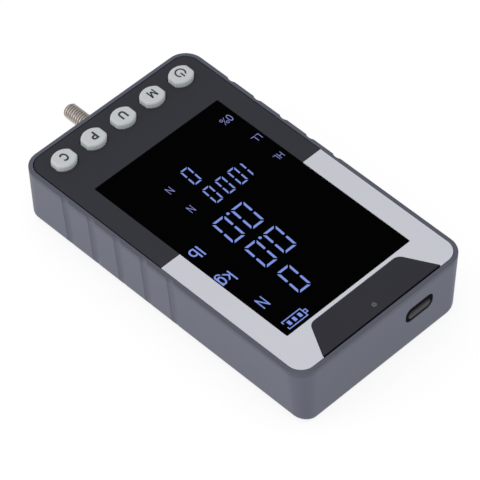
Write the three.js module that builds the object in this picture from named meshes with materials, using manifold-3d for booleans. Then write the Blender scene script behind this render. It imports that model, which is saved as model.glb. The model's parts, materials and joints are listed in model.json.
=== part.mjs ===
// Hand-held digital force gauge, in millimetres.
// +Z points out of the screen, +X to the right of someone who reads it, +Y to the end with the USB socket.
// The origin is the centre of the flat back of the case, and the load stud stands out of the -Y end.

import * as THREE from 'three';
import { mergeVertices } from 'three/addons/utils/BufferGeometryUtils.js';
import Module from 'manifold-3d';

// Clearances
const cutOverrun = 1;          // how far a cutter runs past the face that it opens
const slipGap = 0.15;          // between a screw or an insert and its hole
const inlayGap = 0.12;         // round a plate that is let into another
const restGap = 0.3;           // between stacked pieces that don't press on each other
const runningGap = 0.35;       // round a piece that moves

// Case: a tub whose long walls lean in towards the back, with a rim that slopes round its mouth
const caseWidth = 80;
const caseLength = 135;
const caseHeight = 27;
const caseWall = 2.8;
const caseFloor = 2.6;
const sideLean = 2.5;
const endLean = 0.3;
const rimDrop = 0.25;
const rimSideWidth = 1.75;
const rimEndWidth = 1.65;
const rimCorner = 7.6;
const backCorner = 5.2;
const backSideEdge = 3.6;      // rounding of the back along the long walls
const backEndEdge = 2;         // and along the two ends

// Grip grooves down each long side
const gripCount = 5;
const gripPitch = 12.8;
const gripRadius = 2.8;
const gripDepth = 0.7;
const gripFirstInset = 22.7;   // from the stud end of the case to the first groove

// Front panel with the trim let into its USB half
const panelThickness = 3.5;
const panelGap = 0.35;         // the dark line between the panel and the rim
const trimThickness = 1.2;
const trimStart = 67.9;        // from the stud end of the case to the edge of the silver trim

// Screen lens, stepped so that a flange holds it behind the panel
const lensSideInset = 10.8;
const lensStudInset = 26.5;
const lensUsbInset = 16.9;
const lensCorner = 0.8;
const lensSink = 0.1;          // how far the lens lies below the panel's face
const lensFlangeWidth = 1.9;
const lensFlangeThickness = 1.4;
const lensLip = 0.7;           // panel left between the trim and the lens flange

// Badge: a tapered plate between the screen and the USB end
const badgeUsbInset = 2.3;
const badgeLength = 13.05;
const badgeSideInset = 12.25;  // from the side of the case to the end of the badge's wide edge
const badgeSlant = 7.25;       // how much shorter its narrow edge is at each end
const badgeCorner = 3.2;
const badgeWideCorner = 0.6;

// Light pipe through the badge
const pipeUsbInset = 5.9;
const pipeOffset = -0.7;       // from the middle of the case
const pipeRadius = 1;
const pipeCollarRadius = 1.7;
const pipeCollarThickness = 0.9;
const ledWidth = 2.4;
const ledDepth = 1.6;
const ledHeight = 1.2;

// Key caps and the switches under them
const keyNames = ['power', 'm', 'u', 'p', 'c'];
const keyPitchShare = 0.175;   // of the case's width, from one key to the next
const keyStudInset = 9.85;
const keyWidth = 9;
const keyLength = 8.4;
const keyEndRadius = 5.4;      // of the two bowed ends
const keyProud = 2.1;
const keyEdge = 0.9;
const keyFlangeWidth = 0.8;
const keyFlangeThickness = 0.9;
const keyTopGap = 0.2;         // between the key's flange and the panel that stops it
const keyTravel = 0.6;
const plungerRadius = 1.7;
const plungerProud = 1.1;
const switchWidth = 6;
const switchHeight = 3;
const switchFloor = 0.8;

// Display module on the main board
const boardThickness = 1.6;
const boardSideGap = 1;
const boardEndGap = 1.1;
const boardPostGap = 0.6;
const frameWall = 1.6;
const frameLip = 1;
const frameLipWidth = 1.8;
const glassMargin = 0.8;       // how far the display glass runs on behind the lens opening
const backlightThickness = 2.4;
const glassThickness = 1.6;

// Buzzer under the main board
const buzzerRadius = 6;
const buzzerHeight = 5.5;
const buzzerHoleRadius = 1;
const buzzerHoleDepth = 2;
const buzzerSideInset = 17;
const buzzerStudInset = 72;

// Screws: thread radius, head radius, head height, driver socket radius and its depth
const caseScrew = { thread: 1.5, length: 18, head: 2.7, headHeight: 1.7, socket: 1.2, socketDepth: 1 };
const bracketScrew = { thread: 1.5, length: 4.4, head: 2.7, headHeight: 1.7, socket: 1.2, socketDepth: 1 };
const cellScrew = { thread: 1.5, length: 7.5, head: 2.7, headHeight: 1.9, socket: 1.2, socketDepth: 1.1 };
const boardScrew = { thread: 1, length: 5.8, head: 1.9, headHeight: 1.3, socket: 0.9, socketDepth: 0.8 };
const usbScrew = { thread: 1, length: 6, head: 1.9, headHeight: 1.2, socket: 0.9, socketDepth: 0.8 };
const screwTipChamfer = 0.4;
const headSink = 0.3;          // heads lie this far below the back
const boreSpare = 0.5;         // a blind bore is this much deeper than what fills it

// Posts that the case screws draw together
const postSideInset = 9.6;
const postStudInset = 20;
const postUsbInset = 9.5;
const postRadius = 3;
const postSplitDrop = 3.7;     // from the main board down to where the panel's posts meet those of the case

// Posts under the panel that carry the board
const boardPostRadius = 2.4;
const boardPostSideInset = 20;
const boardPostNearX = 7;
const boardPostUsbInset = 10.5;

// Threaded inserts in the back, for a stand
const insertRadius = 2.1;
const insertBore = 1.25;
const insertLength = 5.5;
const insertSink = 0.2;
const insertBossRadius = 3.6;
const insertCap = 1.5;         // boss left above the insert's bore
const insertRibGap = 1.7;      // between an insert's boss and the rib round the battery
const insertEndInset = 27.5;

// Load stud, its lock nut and its guide bush
const studRadius = 3;
const studReach = 18.8;        // how far the stud stands out of the case
const studChamfer = 0.7;
const studGrip = 5;            // how far it enters the load cell
const studTravel = 0.3;        // each way, as the load cell bends
const studSpare = 0.05;        // room that is left at the end of its travel
const nutThickness = 3.2;
const bushWall = 1.6;
const bushFlangeThickness = 1.5;

// Load cell: a flat block cut to an S by two slots, pierced in its middle
const cellStudInset = 15.5;
const cellWidth = 28;
const cellLength = 28;
const cellUnderShare = 0.215;  // of the room under the main board, left below the cell
const cellThicknessShare = 0.69;
const cellEndPlate = 5.6;
const cellSlot = 1.5;
const cellWeb = 5;
const cellHoleRadius = 3.6;
const cellHoleHalfPitch = 4.6;
const cellNeck = 1;
const cellScrewX = 5.5;

// Bracket that holds the cell's fixed end
const bracketThickness = 3;
const bracketLengthShare = 0.435;  // of the room between the cell and the battery
const bracketRise = 0.9;       // how far the bracket stands above the cell's side
const bracketScrewX = 8;
const padHeight = 1.4;         // of the pad in the case under the bracket
const padMargin = 1;

// Battery on its foam pad, inside a low rib
const batteryWidth = 34;
const batteryLength = 43;
const batteryThickness = 7;
const batteryCorner = 2;
const batteryUsbInset = 14;
const foamThickness = 0.8;
const foamMargin = 2;
const ribWall = 1.2;
const ribHeight = 3;
const ribGap = 0.5;

// USB socket behind a dust cover in the end wall
const portSideInset = 23.1;
const portDrop = 10.7;         // from the front down to the socket's centre
const portWidth = 12.9;
const portTall = 6.2;
const linerWallSide = 1.05;
const linerWallTop = 1.15;
const linerDepth = 2.4;
const linerSink = 0.1;
const coverThickness = 1.4;
const coverSink = 0.2;
const coverDishWidth = 3;
const coverDishDepth = 0.55;
const coverDishInset = 1.1;    // cover left flat past each end of the dish
const shellWidth = 8.94;
const shellTall = 3.26;
const shellDepth = 7.35;
const shellWall = 0.3;
const shellBack = 1.5;
const shellSink = 0.4;         // between the dust cover and the socket's mouth
const tongueWidth = 6.69;
const tongueThickness = 0.7;
const tongueLength = 4.6;
const usbBoardMargin = 2.4;
const usbScrewX = 6.8;         // from the socket's centre to each of its screws
const usbPostRadius = 1.9;
const usbBoardLug = 2.3;       // board left outside each screw

// How finely round shapes are faceted
const cornerSteps = 5;
const edgeSteps = 4;
const keyEndSteps = 8;
const keyEdgeSteps = 3;
const smallSides = 12;
const middleSides = 16;
const studSides = 24;
const gripSides = 40;

// Finishes
const finishes = {
  casePaint: { color: 0x6f737c, roughness: 0.55, metalness: 0.1 },
  panelDark: { color: 0x36393f, roughness: 0.5, metalness: 0.05 },
  silverTrim: { color: 0xc9cbcf, roughness: 0.38, metalness: 0.35 },
  badgeDark: { color: 0x303236, roughness: 0.3, metalness: 0.1 },
  lensBlack: { color: 0x050507, roughness: 0.12, metalness: 0 },
  pipeClear: { color: 0xa08a8a, roughness: 0.3, metalness: 0 },
  keyPlastic: { color: 0xcdd2d4, roughness: 0.45, metalness: 0 },
  displayGlass: { color: 0x1b2030, roughness: 0.2, metalness: 0 },
  whitePlastic: { color: 0xe8e8e4, roughness: 0.6, metalness: 0 },
  blackPlastic: { color: 0x151618, roughness: 0.6, metalness: 0 },
  boardGreen: { color: 0x1f5a38, roughness: 0.5, metalness: 0 },
  steel: { color: 0x9a958d, roughness: 0.35, metalness: 1 },
  blackSteel: { color: 0x2a2b2d, roughness: 0.4, metalness: 1 },
  aluminium: { color: 0xb9bcc0, roughness: 0.4, metalness: 1 },
  brass: { color: 0xb08d4c, roughness: 0.4, metalness: 1 },
  greyRubber: { color: 0x5f6268, roughness: 0.8, metalness: 0 },
  foam: { color: 0x2c2c2e, roughness: 0.95, metalness: 0 },
  batteryWrap: { color: 0x9fa6ad, roughness: 0.45, metalness: 0.3 },
};

// Heights and ends that the pieces share
const studEnd = -caseLength / 2;
const usbEnd = caseLength / 2;
const rimBase = caseHeight - rimDrop;
const leanAt = (z) => 1 - z / rimBase;
const caseHalfX = (z) => caseWidth / 2 - sideLean * leanAt(z);
const caseHalfY = (z) => caseLength / 2 - endLean * leanAt(z);
const caseCorner = (z) => rimCorner - (rimCorner - backCorner) * leanAt(z);
const mouthHalfX = caseWidth / 2 - rimSideWidth;
const mouthHalfY = caseLength / 2 - rimEndWidth;
const mouthCorner = rimCorner - rimSideWidth;
const panelBase = caseHeight - panelThickness;
const trimBase = caseHeight - trimThickness;
const lensHalfX = caseWidth / 2 - lensSideInset;
const lensStart = studEnd + lensStudInset;
const lensStop = usbEnd - lensUsbInset;
const lensTop = caseHeight - lensSink;
const lensSeat = trimBase - lensLip;
const badgeWideHalf = caseWidth / 2 - badgeSideInset;
const badgeNarrowHalf = badgeWideHalf - badgeSlant;
const keyPitch = caseWidth * keyPitchShare;
const keyRowY = studEnd + keyStudInset;
const keyFlangeTop = panelBase - keyTopGap;
const keyFlangeBase = keyFlangeTop - keyFlangeThickness;
const boardTop = keyFlangeBase - plungerProud - switchHeight;
const boardBase = boardTop - boardThickness;
const glassHalfX = lensHalfX + glassMargin;
const glassStart = lensStart - glassMargin;
const glassStop = lensStop + glassMargin;
const backlightBase = boardTop + frameLip;
const glassBase = backlightBase + backlightThickness;
const postSplit = boardBase - postSplitDrop;
const roomUnderBoard = boardBase - caseFloor;
const cellBase = caseFloor + roomUnderBoard * cellUnderShare;
const cellThickness = roomUnderBoard * cellThicknessShare;
const cellTop = cellBase + cellThickness;
const studHeight = (cellBase + cellTop) / 2;
const studFace = -caseHalfY(studHeight);
const nutAcross = cellThickness;
const bushFlangeRadius = boardBase - slipGap - studHeight;
const bracketFoot = caseFloor + padHeight;
const cellStart = studEnd + cellStudInset;
const cellStop = cellStart + cellLength;
const batteryY = usbEnd - batteryUsbInset - batteryLength / 2;
const bracketLength = (batteryY - batteryLength / 2 - cellStop) * bracketLengthShare;
const portX = portSideInset - caseWidth / 2;
const portHeight = caseHeight - portDrop;
const portFace = caseHalfY(portHeight);
const shellFront = portFace - coverSink - coverThickness - shellSink;
const shellEnd = shellFront - shellDepth;
const usbBoardTop = portHeight - shellTall / 2;
const usbBoardBase = usbBoardTop - boardThickness;
const usbBoardStart = shellEnd - usbBoardMargin;
const usbBoardStop = caseHalfY(usbBoardTop) - caseWall - restGap;
const usbBoardHalfX = usbScrewX + usbBoardLug;
const usbScrewY = (usbBoardStart + usbBoardStop) / 2;
const pipePlace = [pipeOffset, usbEnd - pipeUsbInset];

const signs = [-1, 1];
const mirroredPlaces = (x, y) => signs.map((side) => [side * x, y]);
const postX = caseWidth / 2 - postSideInset;
const postPlaces = [
  ...mirroredPlaces(postX, studEnd + postStudInset),
  ...mirroredPlaces(postX, usbEnd - postUsbInset),
];
const boardPostWideX = caseWidth / 2 - boardPostSideInset;
const boardPostPlaces = [
  ...mirroredPlaces(boardPostWideX, studEnd + postStudInset),
  [boardPostNearX, usbEnd - boardPostUsbInset],
  [boardPostWideX, usbEnd - boardPostUsbInset],
];
const insertX = batteryWidth / 2 + ribGap + ribWall + insertRibGap + insertBossRadius;
const insertPlaces = [
  ...mirroredPlaces(insertX, studEnd + insertEndInset),
  ...mirroredPlaces(insertX, usbEnd - insertEndInset),
];
const bracketScrewPlaces = mirroredPlaces(bracketScrewX, cellStop + (bracketThickness + bracketLength) / 2);
const usbScrewPlaces = signs.map((side) => [portX + side * usbScrewX, usbScrewY]);
const keyPlaces = keyNames.map((name, i) => [(i - (keyNames.length - 1) / 2) * keyPitch, keyRowY]);

// Joining and cutting closed solids
const wasm = await Module();
wasm.setup();

function welded(geometry) {
  const bare = geometry.clone();
  bare.deleteAttribute('normal');
  bare.deleteAttribute('uv');
  const merged = mergeVertices(bare);
  const corners = merged.getIndex().array;
  const kept = [];
  for (let i = 0; i < corners.length; i += 3) {
    const [a, b, c] = corners.slice(i, i + 3);
    if (a !== b && b !== c && c !== a) {
      kept.push(a, b, c);
    }
  }
  merged.setIndex(kept);
  return merged;
}

function toSolid(geometry) {
  const merged = welded(geometry);
  return new wasm.Manifold(new wasm.Mesh({
    numProp: 3,
    vertProperties: new Float32Array(merged.getAttribute('position').array),
    triVerts: new Uint32Array(merged.getIndex().array),
  }));
}

function toGeometry(solid) {
  const mesh = solid.getMesh();
  const geometry = new THREE.BufferGeometry();
  geometry.setAttribute('position', new THREE.BufferAttribute(mesh.vertProperties, 3));
  geometry.setIndex(new THREE.BufferAttribute(mesh.triVerts, 1));
  return geometry;
}

const combined = (geometry, others, method) => toGeometry(
  others.reduce((solid, other) => solid[method](toSolid(other)), toSolid(geometry)),
);
const cut = (geometry, tools) => combined(geometry, tools, 'subtract');
const join = (geometry, pieces) => combined(geometry, pieces, 'add');

// Outlines: a polygon whose corners are rounded, each by its own radius
function rounded(corners, steps) {
  const points = [];
  corners.forEach(([x, y, radius], i) => {
    const corner = new THREE.Vector2(x, y);
    if (radius === 0) {
      points.push(corner);
      return;
    }
    const before = corners[(i + corners.length - 1) % corners.length];
    const after = corners[(i + 1) % corners.length];
    const back = new THREE.Vector2(before[0] - x, before[1] - y).normalize();
    const ahead = new THREE.Vector2(after[0] - x, after[1] - y).normalize();
    const halfAngle = Math.acos(back.dot(ahead)) / 2;
    const towards = back.clone().add(ahead).normalize();
    const centre = corner.clone().addScaledVector(towards, radius / Math.sin(halfAngle));
    const start = corner.clone().addScaledVector(back, radius / Math.tan(halfAngle)).sub(centre);
    const turn = Math.sign(-back.cross(ahead)) * (Math.PI - 2 * halfAngle);
    for (let step = 0; step <= steps; step += 1) {
      const arm = start.clone().rotateAround(new THREE.Vector2(), turn * step / steps);
      points.push(arm.add(centre));
    }
  });
  return points;
}

const rectangle = (halfX, halfY, radius, steps = cornerSteps) => rounded(
  [[-halfX, -halfY, radius], [halfX, -halfY, radius], [halfX, halfY, radius], [-halfX, halfY, radius]],
  steps,
);
const circle = (radius, sides) => new THREE.Path().absarc(0, 0, radius, 0, 2 * Math.PI)
  .getSpacedPoints(sides)
  .slice(0, -1);
const keyOutline = (grow) => {
  const radius = keyEndRadius + grow;
  const sweep = Math.asin((keyWidth / 2 + grow) / radius);
  const middle = keyLength / 2 - keyEndRadius;
  const arc = new THREE.Path().absarc(0, middle, radius, Math.PI / 2 - sweep, Math.PI / 2 + sweep);
  const bow = arc.getSpacedPoints(keyEndSteps);
  return [...bow, ...bow.map((point) => point.clone().negate())];
};

// A flat outline made solid between two heights, with holes through it
function prism(points, low, high, holes = []) {
  const shape = new THREE.Shape(points);
  shape.holes = holes.map((hole) => new THREE.Path(hole));
  const geometry = new THREE.ExtrudeGeometry(shape, { depth: high - low, bevelEnabled: false });
  return geometry.translate(0, 0, low);
}

const block = (sizeX, sizeY, low, high) => new THREE.BoxGeometry(sizeX, sizeY, high - low)
  .translate(0, 0, (low + high) / 2);
const rod = (radius, low, high, sides = middleSides) => prism(circle(radius, sides), low, high);
const span = (startX, stopX, startY, stopY, low, high) => block(stopX - startX, stopY - startY, low, high)
  .translate((startX + stopX) / 2, (startY + stopY) / 2, 0);
const at = (geometry, [x, y], z = 0) => geometry.translate(x, y, z);
const alongY = (geometry) => geometry.rotateX(-Math.PI / 2);

// A closed solid through a stack of outlines that have the same number of points
function loft(levels) {
  const count = levels[0].points.length;
  const positions = levels.flatMap(({ points, z }) => points.flatMap((point) => [point.x, point.y, z]));
  const index = [];
  for (let base = 0; base < (levels.length - 1) * count; base += count) {
    for (let i = 0; i < count; i += 1) {
      const next = (i + 1) % count;
      index.push(base + i, base + next, base + count + next);
      index.push(base + i, base + count + next, base + count + i);
    }
  }
  const top = (levels.length - 1) * count;
  THREE.ShapeUtils.triangulateShape(levels[0].points, []).forEach(([a, b, c]) => index.push(c, b, a));
  THREE.ShapeUtils.triangulateShape(levels.at(-1).points, [])
    .forEach(([a, b, c]) => index.push(top + a, top + b, top + c));
  const geometry = new THREE.BufferGeometry();
  geometry.setAttribute('position', new THREE.Float32BufferAttribute(positions, 3));
  geometry.setIndex(index);
  return geometry;
}

// A turned piece along Z, from pairs of radius and height that start and end on the axis
function turned(profile, sides) {
  const points = profile.map(([radius, z]) => new THREE.Vector2(radius, z));
  return welded(new THREE.LatheGeometry(points, sides)).rotateX(Math.PI / 2);
}

// A screw that points up, with the underside of its head at zero and a six-sided driver socket
function screw({ thread, length, head, headHeight, socket, socketDepth }) {
  const body = turned([
    [0, -headHeight],
    [head, -headHeight],
    [head, 0],
    [thread, 0],
    [thread, length - screwTipChamfer],
    [thread - screwTipChamfer, length],
    [0, length],
  ], smallSides);
  return cut(body, [rod(socket, -headHeight - cutOverrun, -headHeight + socketDepth, 6)]);
}

// The bore for such a screw, with room for its head down to the face that it is driven from
const screwBore = ({ thread, length, head }, depth) => [
  rod(thread + slipGap, -cutOverrun, length + boreSpare, smallSides),
  rod(head + restGap, -depth, 0),
];

const root = new THREE.Group();

function add(name, finish, geometry, position = [0, 0, 0]) {
  const mesh = new THREE.Mesh(geometry, new THREE.MeshStandardMaterial(finishes[finish]));
  mesh.name = name;
  mesh.position.set(...position);
  root.add(mesh);
}

// The outside of the case at a height, drawn in at its sides and at its ends
const caseOutline = (z, sideInset, endInset = sideInset) => rectangle(
  caseHalfX(z) - sideInset,
  caseHalfY(z) - endInset,
  caseCorner(z) - (sideInset + endInset) / 2,
);

// How far a rounding of the back draws a wall in at a height
const roundingAt = (radius, z) => (z < radius ? radius - Math.sqrt(radius ** 2 - (radius - z) ** 2) : 0);

function caseShell() {
  const levels = [];
  for (let step = 0; step <= edgeSteps; step += 1) {
    const z = backSideEdge * (1 - Math.cos((step / edgeSteps) * (Math.PI / 2)));
    levels.push({ z, points: caseOutline(z, roundingAt(backSideEdge, z), roundingAt(backEndEdge, z)) });
  }
  levels.push({ z: rimBase, points: caseOutline(rimBase, 0) });
  levels.push({ z: caseHeight, points: rectangle(mouthHalfX, mouthHalfY, mouthCorner) });
  return loft(levels);
}

function caseHollow() {
  return loft([caseFloor, panelBase + cutOverrun].map((z) => ({ z, points: caseOutline(z, caseWall) })));
}

// One groove: a long round bar that lies against the leaning wall
function gripCutter(side, y) {
  const lean = Math.atan2(sideLean, rimBase);
  const bar = rod(gripRadius, -caseHeight, 2 * caseHeight, gripSides).rotateY(side * lean);
  const offset = (gripRadius - gripDepth) / Math.cos(lean);
  return at(bar, [side * (caseHalfX(0) + offset), y]);
}

const pillSides = (width, tall) => rectangle(width / 2, tall / 2, tall / 2 - slipGap / 2, cornerSteps);

function housing() {
  const grips = signs.flatMap((side) => Array.from(
    { length: gripCount },
    (unused, i) => gripCutter(side, studEnd + gripFirstInset + i * gripPitch),
  ));
  const mouth = prism(
    rectangle(mouthHalfX, mouthHalfY, mouthCorner),
    panelBase,
    caseHeight + cutOverrun,
  );
  const tub = cut(caseShell(), [caseHollow(), mouth, ...grips]);
  const rib = prism(
    rectangle(batteryWidth / 2 + ribGap + ribWall, batteryLength / 2 + ribGap + ribWall, batteryCorner),
    caseFloor - cutOverrun,
    caseFloor + ribHeight,
    [rectangle(batteryWidth / 2 + ribGap, batteryLength / 2 + ribGap, batteryCorner)],
  );
  const padHalfX = cellWidth / 2 + padMargin;
  const pad = span(
    -padHalfX,
    padHalfX,
    cellStop - padMargin,
    cellStop + bracketLength + padMargin,
    caseFloor - cutOverrun,
    bracketFoot,
  );
  const posts = postPlaces.map((place) => at(rod(postRadius, caseFloor / 2, postSplit - restGap), place));
  const bosses = insertPlaces.map((place) => at(
    rod(insertBossRadius, caseFloor - cutOverrun, insertSink + insertLength + boreSpare + insertCap),
    place,
  ));
  const usbPosts = usbScrewPlaces.map((place) => at(
    rod(usbPostRadius, caseFloor - cutOverrun, usbBoardBase),
    place,
  ));
  const filled = join(tub, [at(rib, [0, batteryY]), pad, ...posts, ...bosses, ...usbPosts]);
  const caseSeat = headSink + caseScrew.headHeight;
  const bracketSeat = headSink + bracketScrew.headHeight;
  const bores = [
    ...postPlaces.flatMap((place) => screwBore(caseScrew, caseSeat + cutOverrun)
      .map((bore) => at(bore, place, caseSeat))),
    ...bracketScrewPlaces.flatMap((place) => screwBore(bracketScrew, bracketSeat + cutOverrun)
      .map((bore) => at(bore, place, bracketSeat))),
    ...insertPlaces.map((place) => at(
      rod(insertRadius + slipGap, -cutOverrun, insertSink + insertLength + boreSpare),
      place,
    )),
    ...usbScrewPlaces.map((place) => at(
      rod(usbScrew.thread + slipGap, usbBoardTop - usbScrew.length - boreSpare, usbBoardTop, smallSides),
      place,
    )),
  ];
  const bushBore = alongY(rod(
    studRadius + runningGap + bushWall + slipGap,
    -cutOverrun,
    2 * caseWall,
    studSides,
  ));
  const port = alongY(prism(
    pillSides(portWidth + 2 * slipGap, portTall + 2 * slipGap),
    -2 * caseWall,
    cutOverrun,
  ));
  return cut(filled, [
    ...bores,
    at(bushBore, [0, studFace], studHeight),
    at(port, [portX, portFace], portHeight),
  ]);
}

// The part of the front that is silver, and the badge let into it
const trimOutline = () => {
  const halfX = mouthHalfX - inlayGap;
  const halfY = mouthHalfY - inlayGap;
  const plate = prism(rectangle(halfX, halfY, mouthCorner - inlayGap), trimBase, caseHeight);
  const studSide = span(
    -caseWidth,
    caseWidth,
    studEnd - cutOverrun,
    studEnd + trimStart,
    trimBase - cutOverrun,
    caseHeight + cutOverrun,
  );
  return cut(plate, [studSide]);
};

const badgeShape = (grow) => {
  const wideY = usbEnd - badgeUsbInset + grow;
  const narrowY = usbEnd - badgeUsbInset - badgeLength - grow;
  return rounded([
    [-badgeNarrowHalf - grow, narrowY, badgeCorner],
    [badgeNarrowHalf + grow, narrowY, badgeCorner],
    [badgeWideHalf + grow, wideY, badgeWideCorner],
    [-badgeWideHalf - grow, wideY, badgeWideCorner],
  ], cornerSteps);
};

const lensMiddleY = (lensStart + lensStop) / 2;
const lensOutline = (grow) => rectangle(
  lensHalfX + grow,
  (lensStop - lensStart) / 2 + grow,
  lensCorner,
);

const lensPlate = (grow, low, high) => at(prism(lensOutline(grow), low, high), [0, lensMiddleY]);

function silverBezel() {
  const badgeRoom = prism(badgeShape(inlayGap), trimBase - cutOverrun, caseHeight + cutOverrun);
  const badgeEndRoom = span(
    -badgeWideHalf,
    badgeWideHalf,
    usbEnd - badgeUsbInset - badgeWideCorner,
    usbEnd,
    trimBase - cutOverrun,
    caseHeight + cutOverrun,
  );
  return cut(trimOutline(), [
    lensPlate(inlayGap, trimBase - cutOverrun, caseHeight + cutOverrun),
    badgeRoom,
    badgeEndRoom,
  ]);
}

function badgePlate() {
  const plate = prism(badgeShape(0), trimBase, caseHeight);
  const hole = at(rod(pipeRadius + slipGap, trimBase - cutOverrun, caseHeight + cutOverrun), pipePlace);
  return cut(plate, [hole]);
}

function frontPanel() {
  const plate = prism(
    rectangle(mouthHalfX - panelGap, mouthHalfY - panelGap, mouthCorner - panelGap),
    panelBase,
    caseHeight,
  );
  const trimRoom = span(
    -caseWidth,
    caseWidth,
    studEnd + trimStart - inlayGap,
    usbEnd,
    trimBase,
    caseHeight + cutOverrun,
  );
  const keyHoles = keyPlaces.map((place) => at(
    prism(keyOutline(runningGap), panelBase - cutOverrun, caseHeight + cutOverrun),
    place,
  ));
  const plain = cut(plate, [
    trimRoom,
    lensPlate(inlayGap, panelBase - cutOverrun, caseHeight + cutOverrun),
    lensPlate(lensFlangeWidth + inlayGap, panelBase - cutOverrun, lensSeat),
    at(rod(pipeRadius + slipGap, panelBase - cutOverrun, caseHeight), pipePlace),
    ...keyHoles,
  ]);
  const posts = postPlaces.map((place) => at(rod(postRadius, postSplit, panelBase + boreSpare), place));
  const boardPosts = boardPostPlaces.map((place) => at(
    rod(boardPostRadius, boardTop, panelBase + boreSpare),
    place,
  ));
  const caseTip = headSink + caseScrew.headHeight + caseScrew.length + boreSpare;
  const boardTip = boardBase + boardScrew.length + boreSpare;
  const bores = [
    ...postPlaces.map((place) => at(
      rod(caseScrew.thread + slipGap, postSplit - cutOverrun, caseTip, smallSides),
      place,
    )),
    ...boardPostPlaces.map((place) => at(
      rod(boardScrew.thread + slipGap, boardTop - cutOverrun, boardTip, smallSides),
      place,
    )),
  ];
  return cut(join(plain, [...posts, ...boardPosts]), bores);
}

function displayWindow() {
  return join(
    lensPlate(0, lensSeat - lensFlangeThickness, lensTop),
    [lensPlate(lensFlangeWidth, lensSeat - lensFlangeThickness, lensSeat)],
  );
}

function lightPipe() {
  const low = boardTop + ledHeight + restGap;
  return turned([
    [0, low],
    [pipeRadius, low],
    [pipeRadius, panelBase - pipeCollarThickness],
    [pipeCollarRadius, panelBase - pipeCollarThickness],
    [pipeCollarRadius, panelBase],
    [pipeRadius, panelBase],
    [pipeRadius, caseHeight],
    [0, caseHeight],
  ], middleSides);
}

// Key cap: a flange under the panel, a body through its hole and a rounded top edge
function keyCap() {
  const top = caseHeight + keyProud;
  const levels = [
    { z: keyFlangeBase, points: keyOutline(keyFlangeWidth) },
    { z: keyFlangeTop, points: keyOutline(keyFlangeWidth) },
    { z: keyFlangeTop, points: keyOutline(0) },
  ];
  for (let step = 0; step <= keyEdgeSteps; step += 1) {
    const angle = (step / keyEdgeSteps) * (Math.PI / 2);
    levels.push({
      z: top - keyEdge * (1 - Math.sin(angle)),
      points: keyOutline(-keyEdge * (1 - Math.cos(angle))),
    });
  }
  return loft(levels);
}

function switchBody() {
  const body = block(switchWidth, switchWidth, boardTop, boardTop + switchHeight);
  const well = rod(
    plungerRadius + restGap,
    boardTop + switchFloor,
    boardTop + switchHeight + cutOverrun,
  );
  return cut(body, [well]);
}

const plunger = () => rod(plungerRadius, boardTop + switchFloor + keyTravel + restGap, keyFlangeBase);

// Display module
const glassMiddleY = (glassStart + glassStop) / 2;
const glassPlate = (grow, low, high) => block(
  2 * (glassHalfX + grow),
  glassStop - glassStart + 2 * grow,
  low,
  high,
).translate(0, glassMiddleY, 0);

function lcdFrame() {
  return cut(glassPlate(restGap + frameWall, boardTop, panelBase - restGap), [
    glassPlate(restGap, backlightBase, panelBase + cutOverrun),
    glassPlate(-frameLipWidth, boardTop - cutOverrun, panelBase + cutOverrun),
  ]);
}

function mainBoard() {
  const halfX = caseHalfX(boardBase) - caseWall - boardSideGap;
  const halfY = caseHalfY(boardBase) - caseWall - boardEndGap;
  const plate = prism(rectangle(halfX, halfY, caseCorner(boardBase) - caseWall), boardBase, boardTop);
  const usbNotch = span(
    -caseWidth,
    portX + usbBoardHalfX + boardPostGap,
    usbBoardStart - boardPostGap,
    usbEnd,
    boardBase - cutOverrun,
    boardTop + cutOverrun,
  );
  const postHoles = postPlaces.map((place) => at(
    rod(postRadius + boardPostGap, boardBase - cutOverrun, boardTop + cutOverrun),
    place,
  ));
  const screwHoles = boardPostPlaces.map((place) => at(
    rod(boardScrew.thread + slipGap, boardBase - cutOverrun, boardTop + cutOverrun, smallSides),
    place,
  ));
  return cut(plate, [usbNotch, ...postHoles, ...screwHoles]);
}

function buzzer() {
  return turned([
    [0, boardBase],
    [buzzerRadius, boardBase],
    [buzzerRadius, boardBase - buzzerHeight],
    [buzzerHoleRadius, boardBase - buzzerHeight],
    [buzzerHoleRadius, boardBase - buzzerHeight + buzzerHoleDepth],
    [0, boardBase - buzzerHeight + buzzerHoleDepth],
  ].reverse(), studSides);
}

// Load cell and what holds it
function loadCell() {
  const halfX = cellWidth / 2;
  const outline = [
    [-halfX, cellStart],
    [halfX, cellStart],
    [halfX, cellStart + cellEndPlate],
    [-halfX + cellWeb, cellStart + cellEndPlate],
    [-halfX + cellWeb, cellStart + cellEndPlate + cellSlot],
    [halfX, cellStart + cellEndPlate + cellSlot],
    [halfX, cellStop],
    [-halfX, cellStop],
    [-halfX, cellStop - cellEndPlate],
    [halfX - cellWeb, cellStop - cellEndPlate],
    [halfX - cellWeb, cellStop - cellEndPlate - cellSlot],
    [-halfX, cellStop - cellEndPlate - cellSlot],
  ].map(([x, y]) => new THREE.Vector2(x, y));
  const middle = (cellStart + cellStop) / 2;
  const flexures = signs.map((side) => at(
    rod(cellHoleRadius, cellBase - cutOverrun, cellTop + cutOverrun),
    [side * cellHoleHalfPitch, middle],
  ));
  const neck = block(2 * cellHoleHalfPitch, cellNeck, cellBase - cutOverrun, cellTop + cutOverrun)
    .translate(0, middle, 0);
  const studBore = alongY(rod(studRadius + runningGap, -cutOverrun, cellEndPlate + cellSlot / 2, studSides));
  const screwBores = signs.map((side) => at(
    alongY(rod(cellScrew.thread + slipGap, -cellEndPlate, cutOverrun, smallSides)),
    [side * cellScrewX, cellStop],
    studHeight,
  ));
  return cut(prism(outline, cellBase, cellTop), [
    ...flexures,
    neck,
    at(studBore, [0, cellStart], studHeight),
    ...screwBores,
  ]);
}

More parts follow.
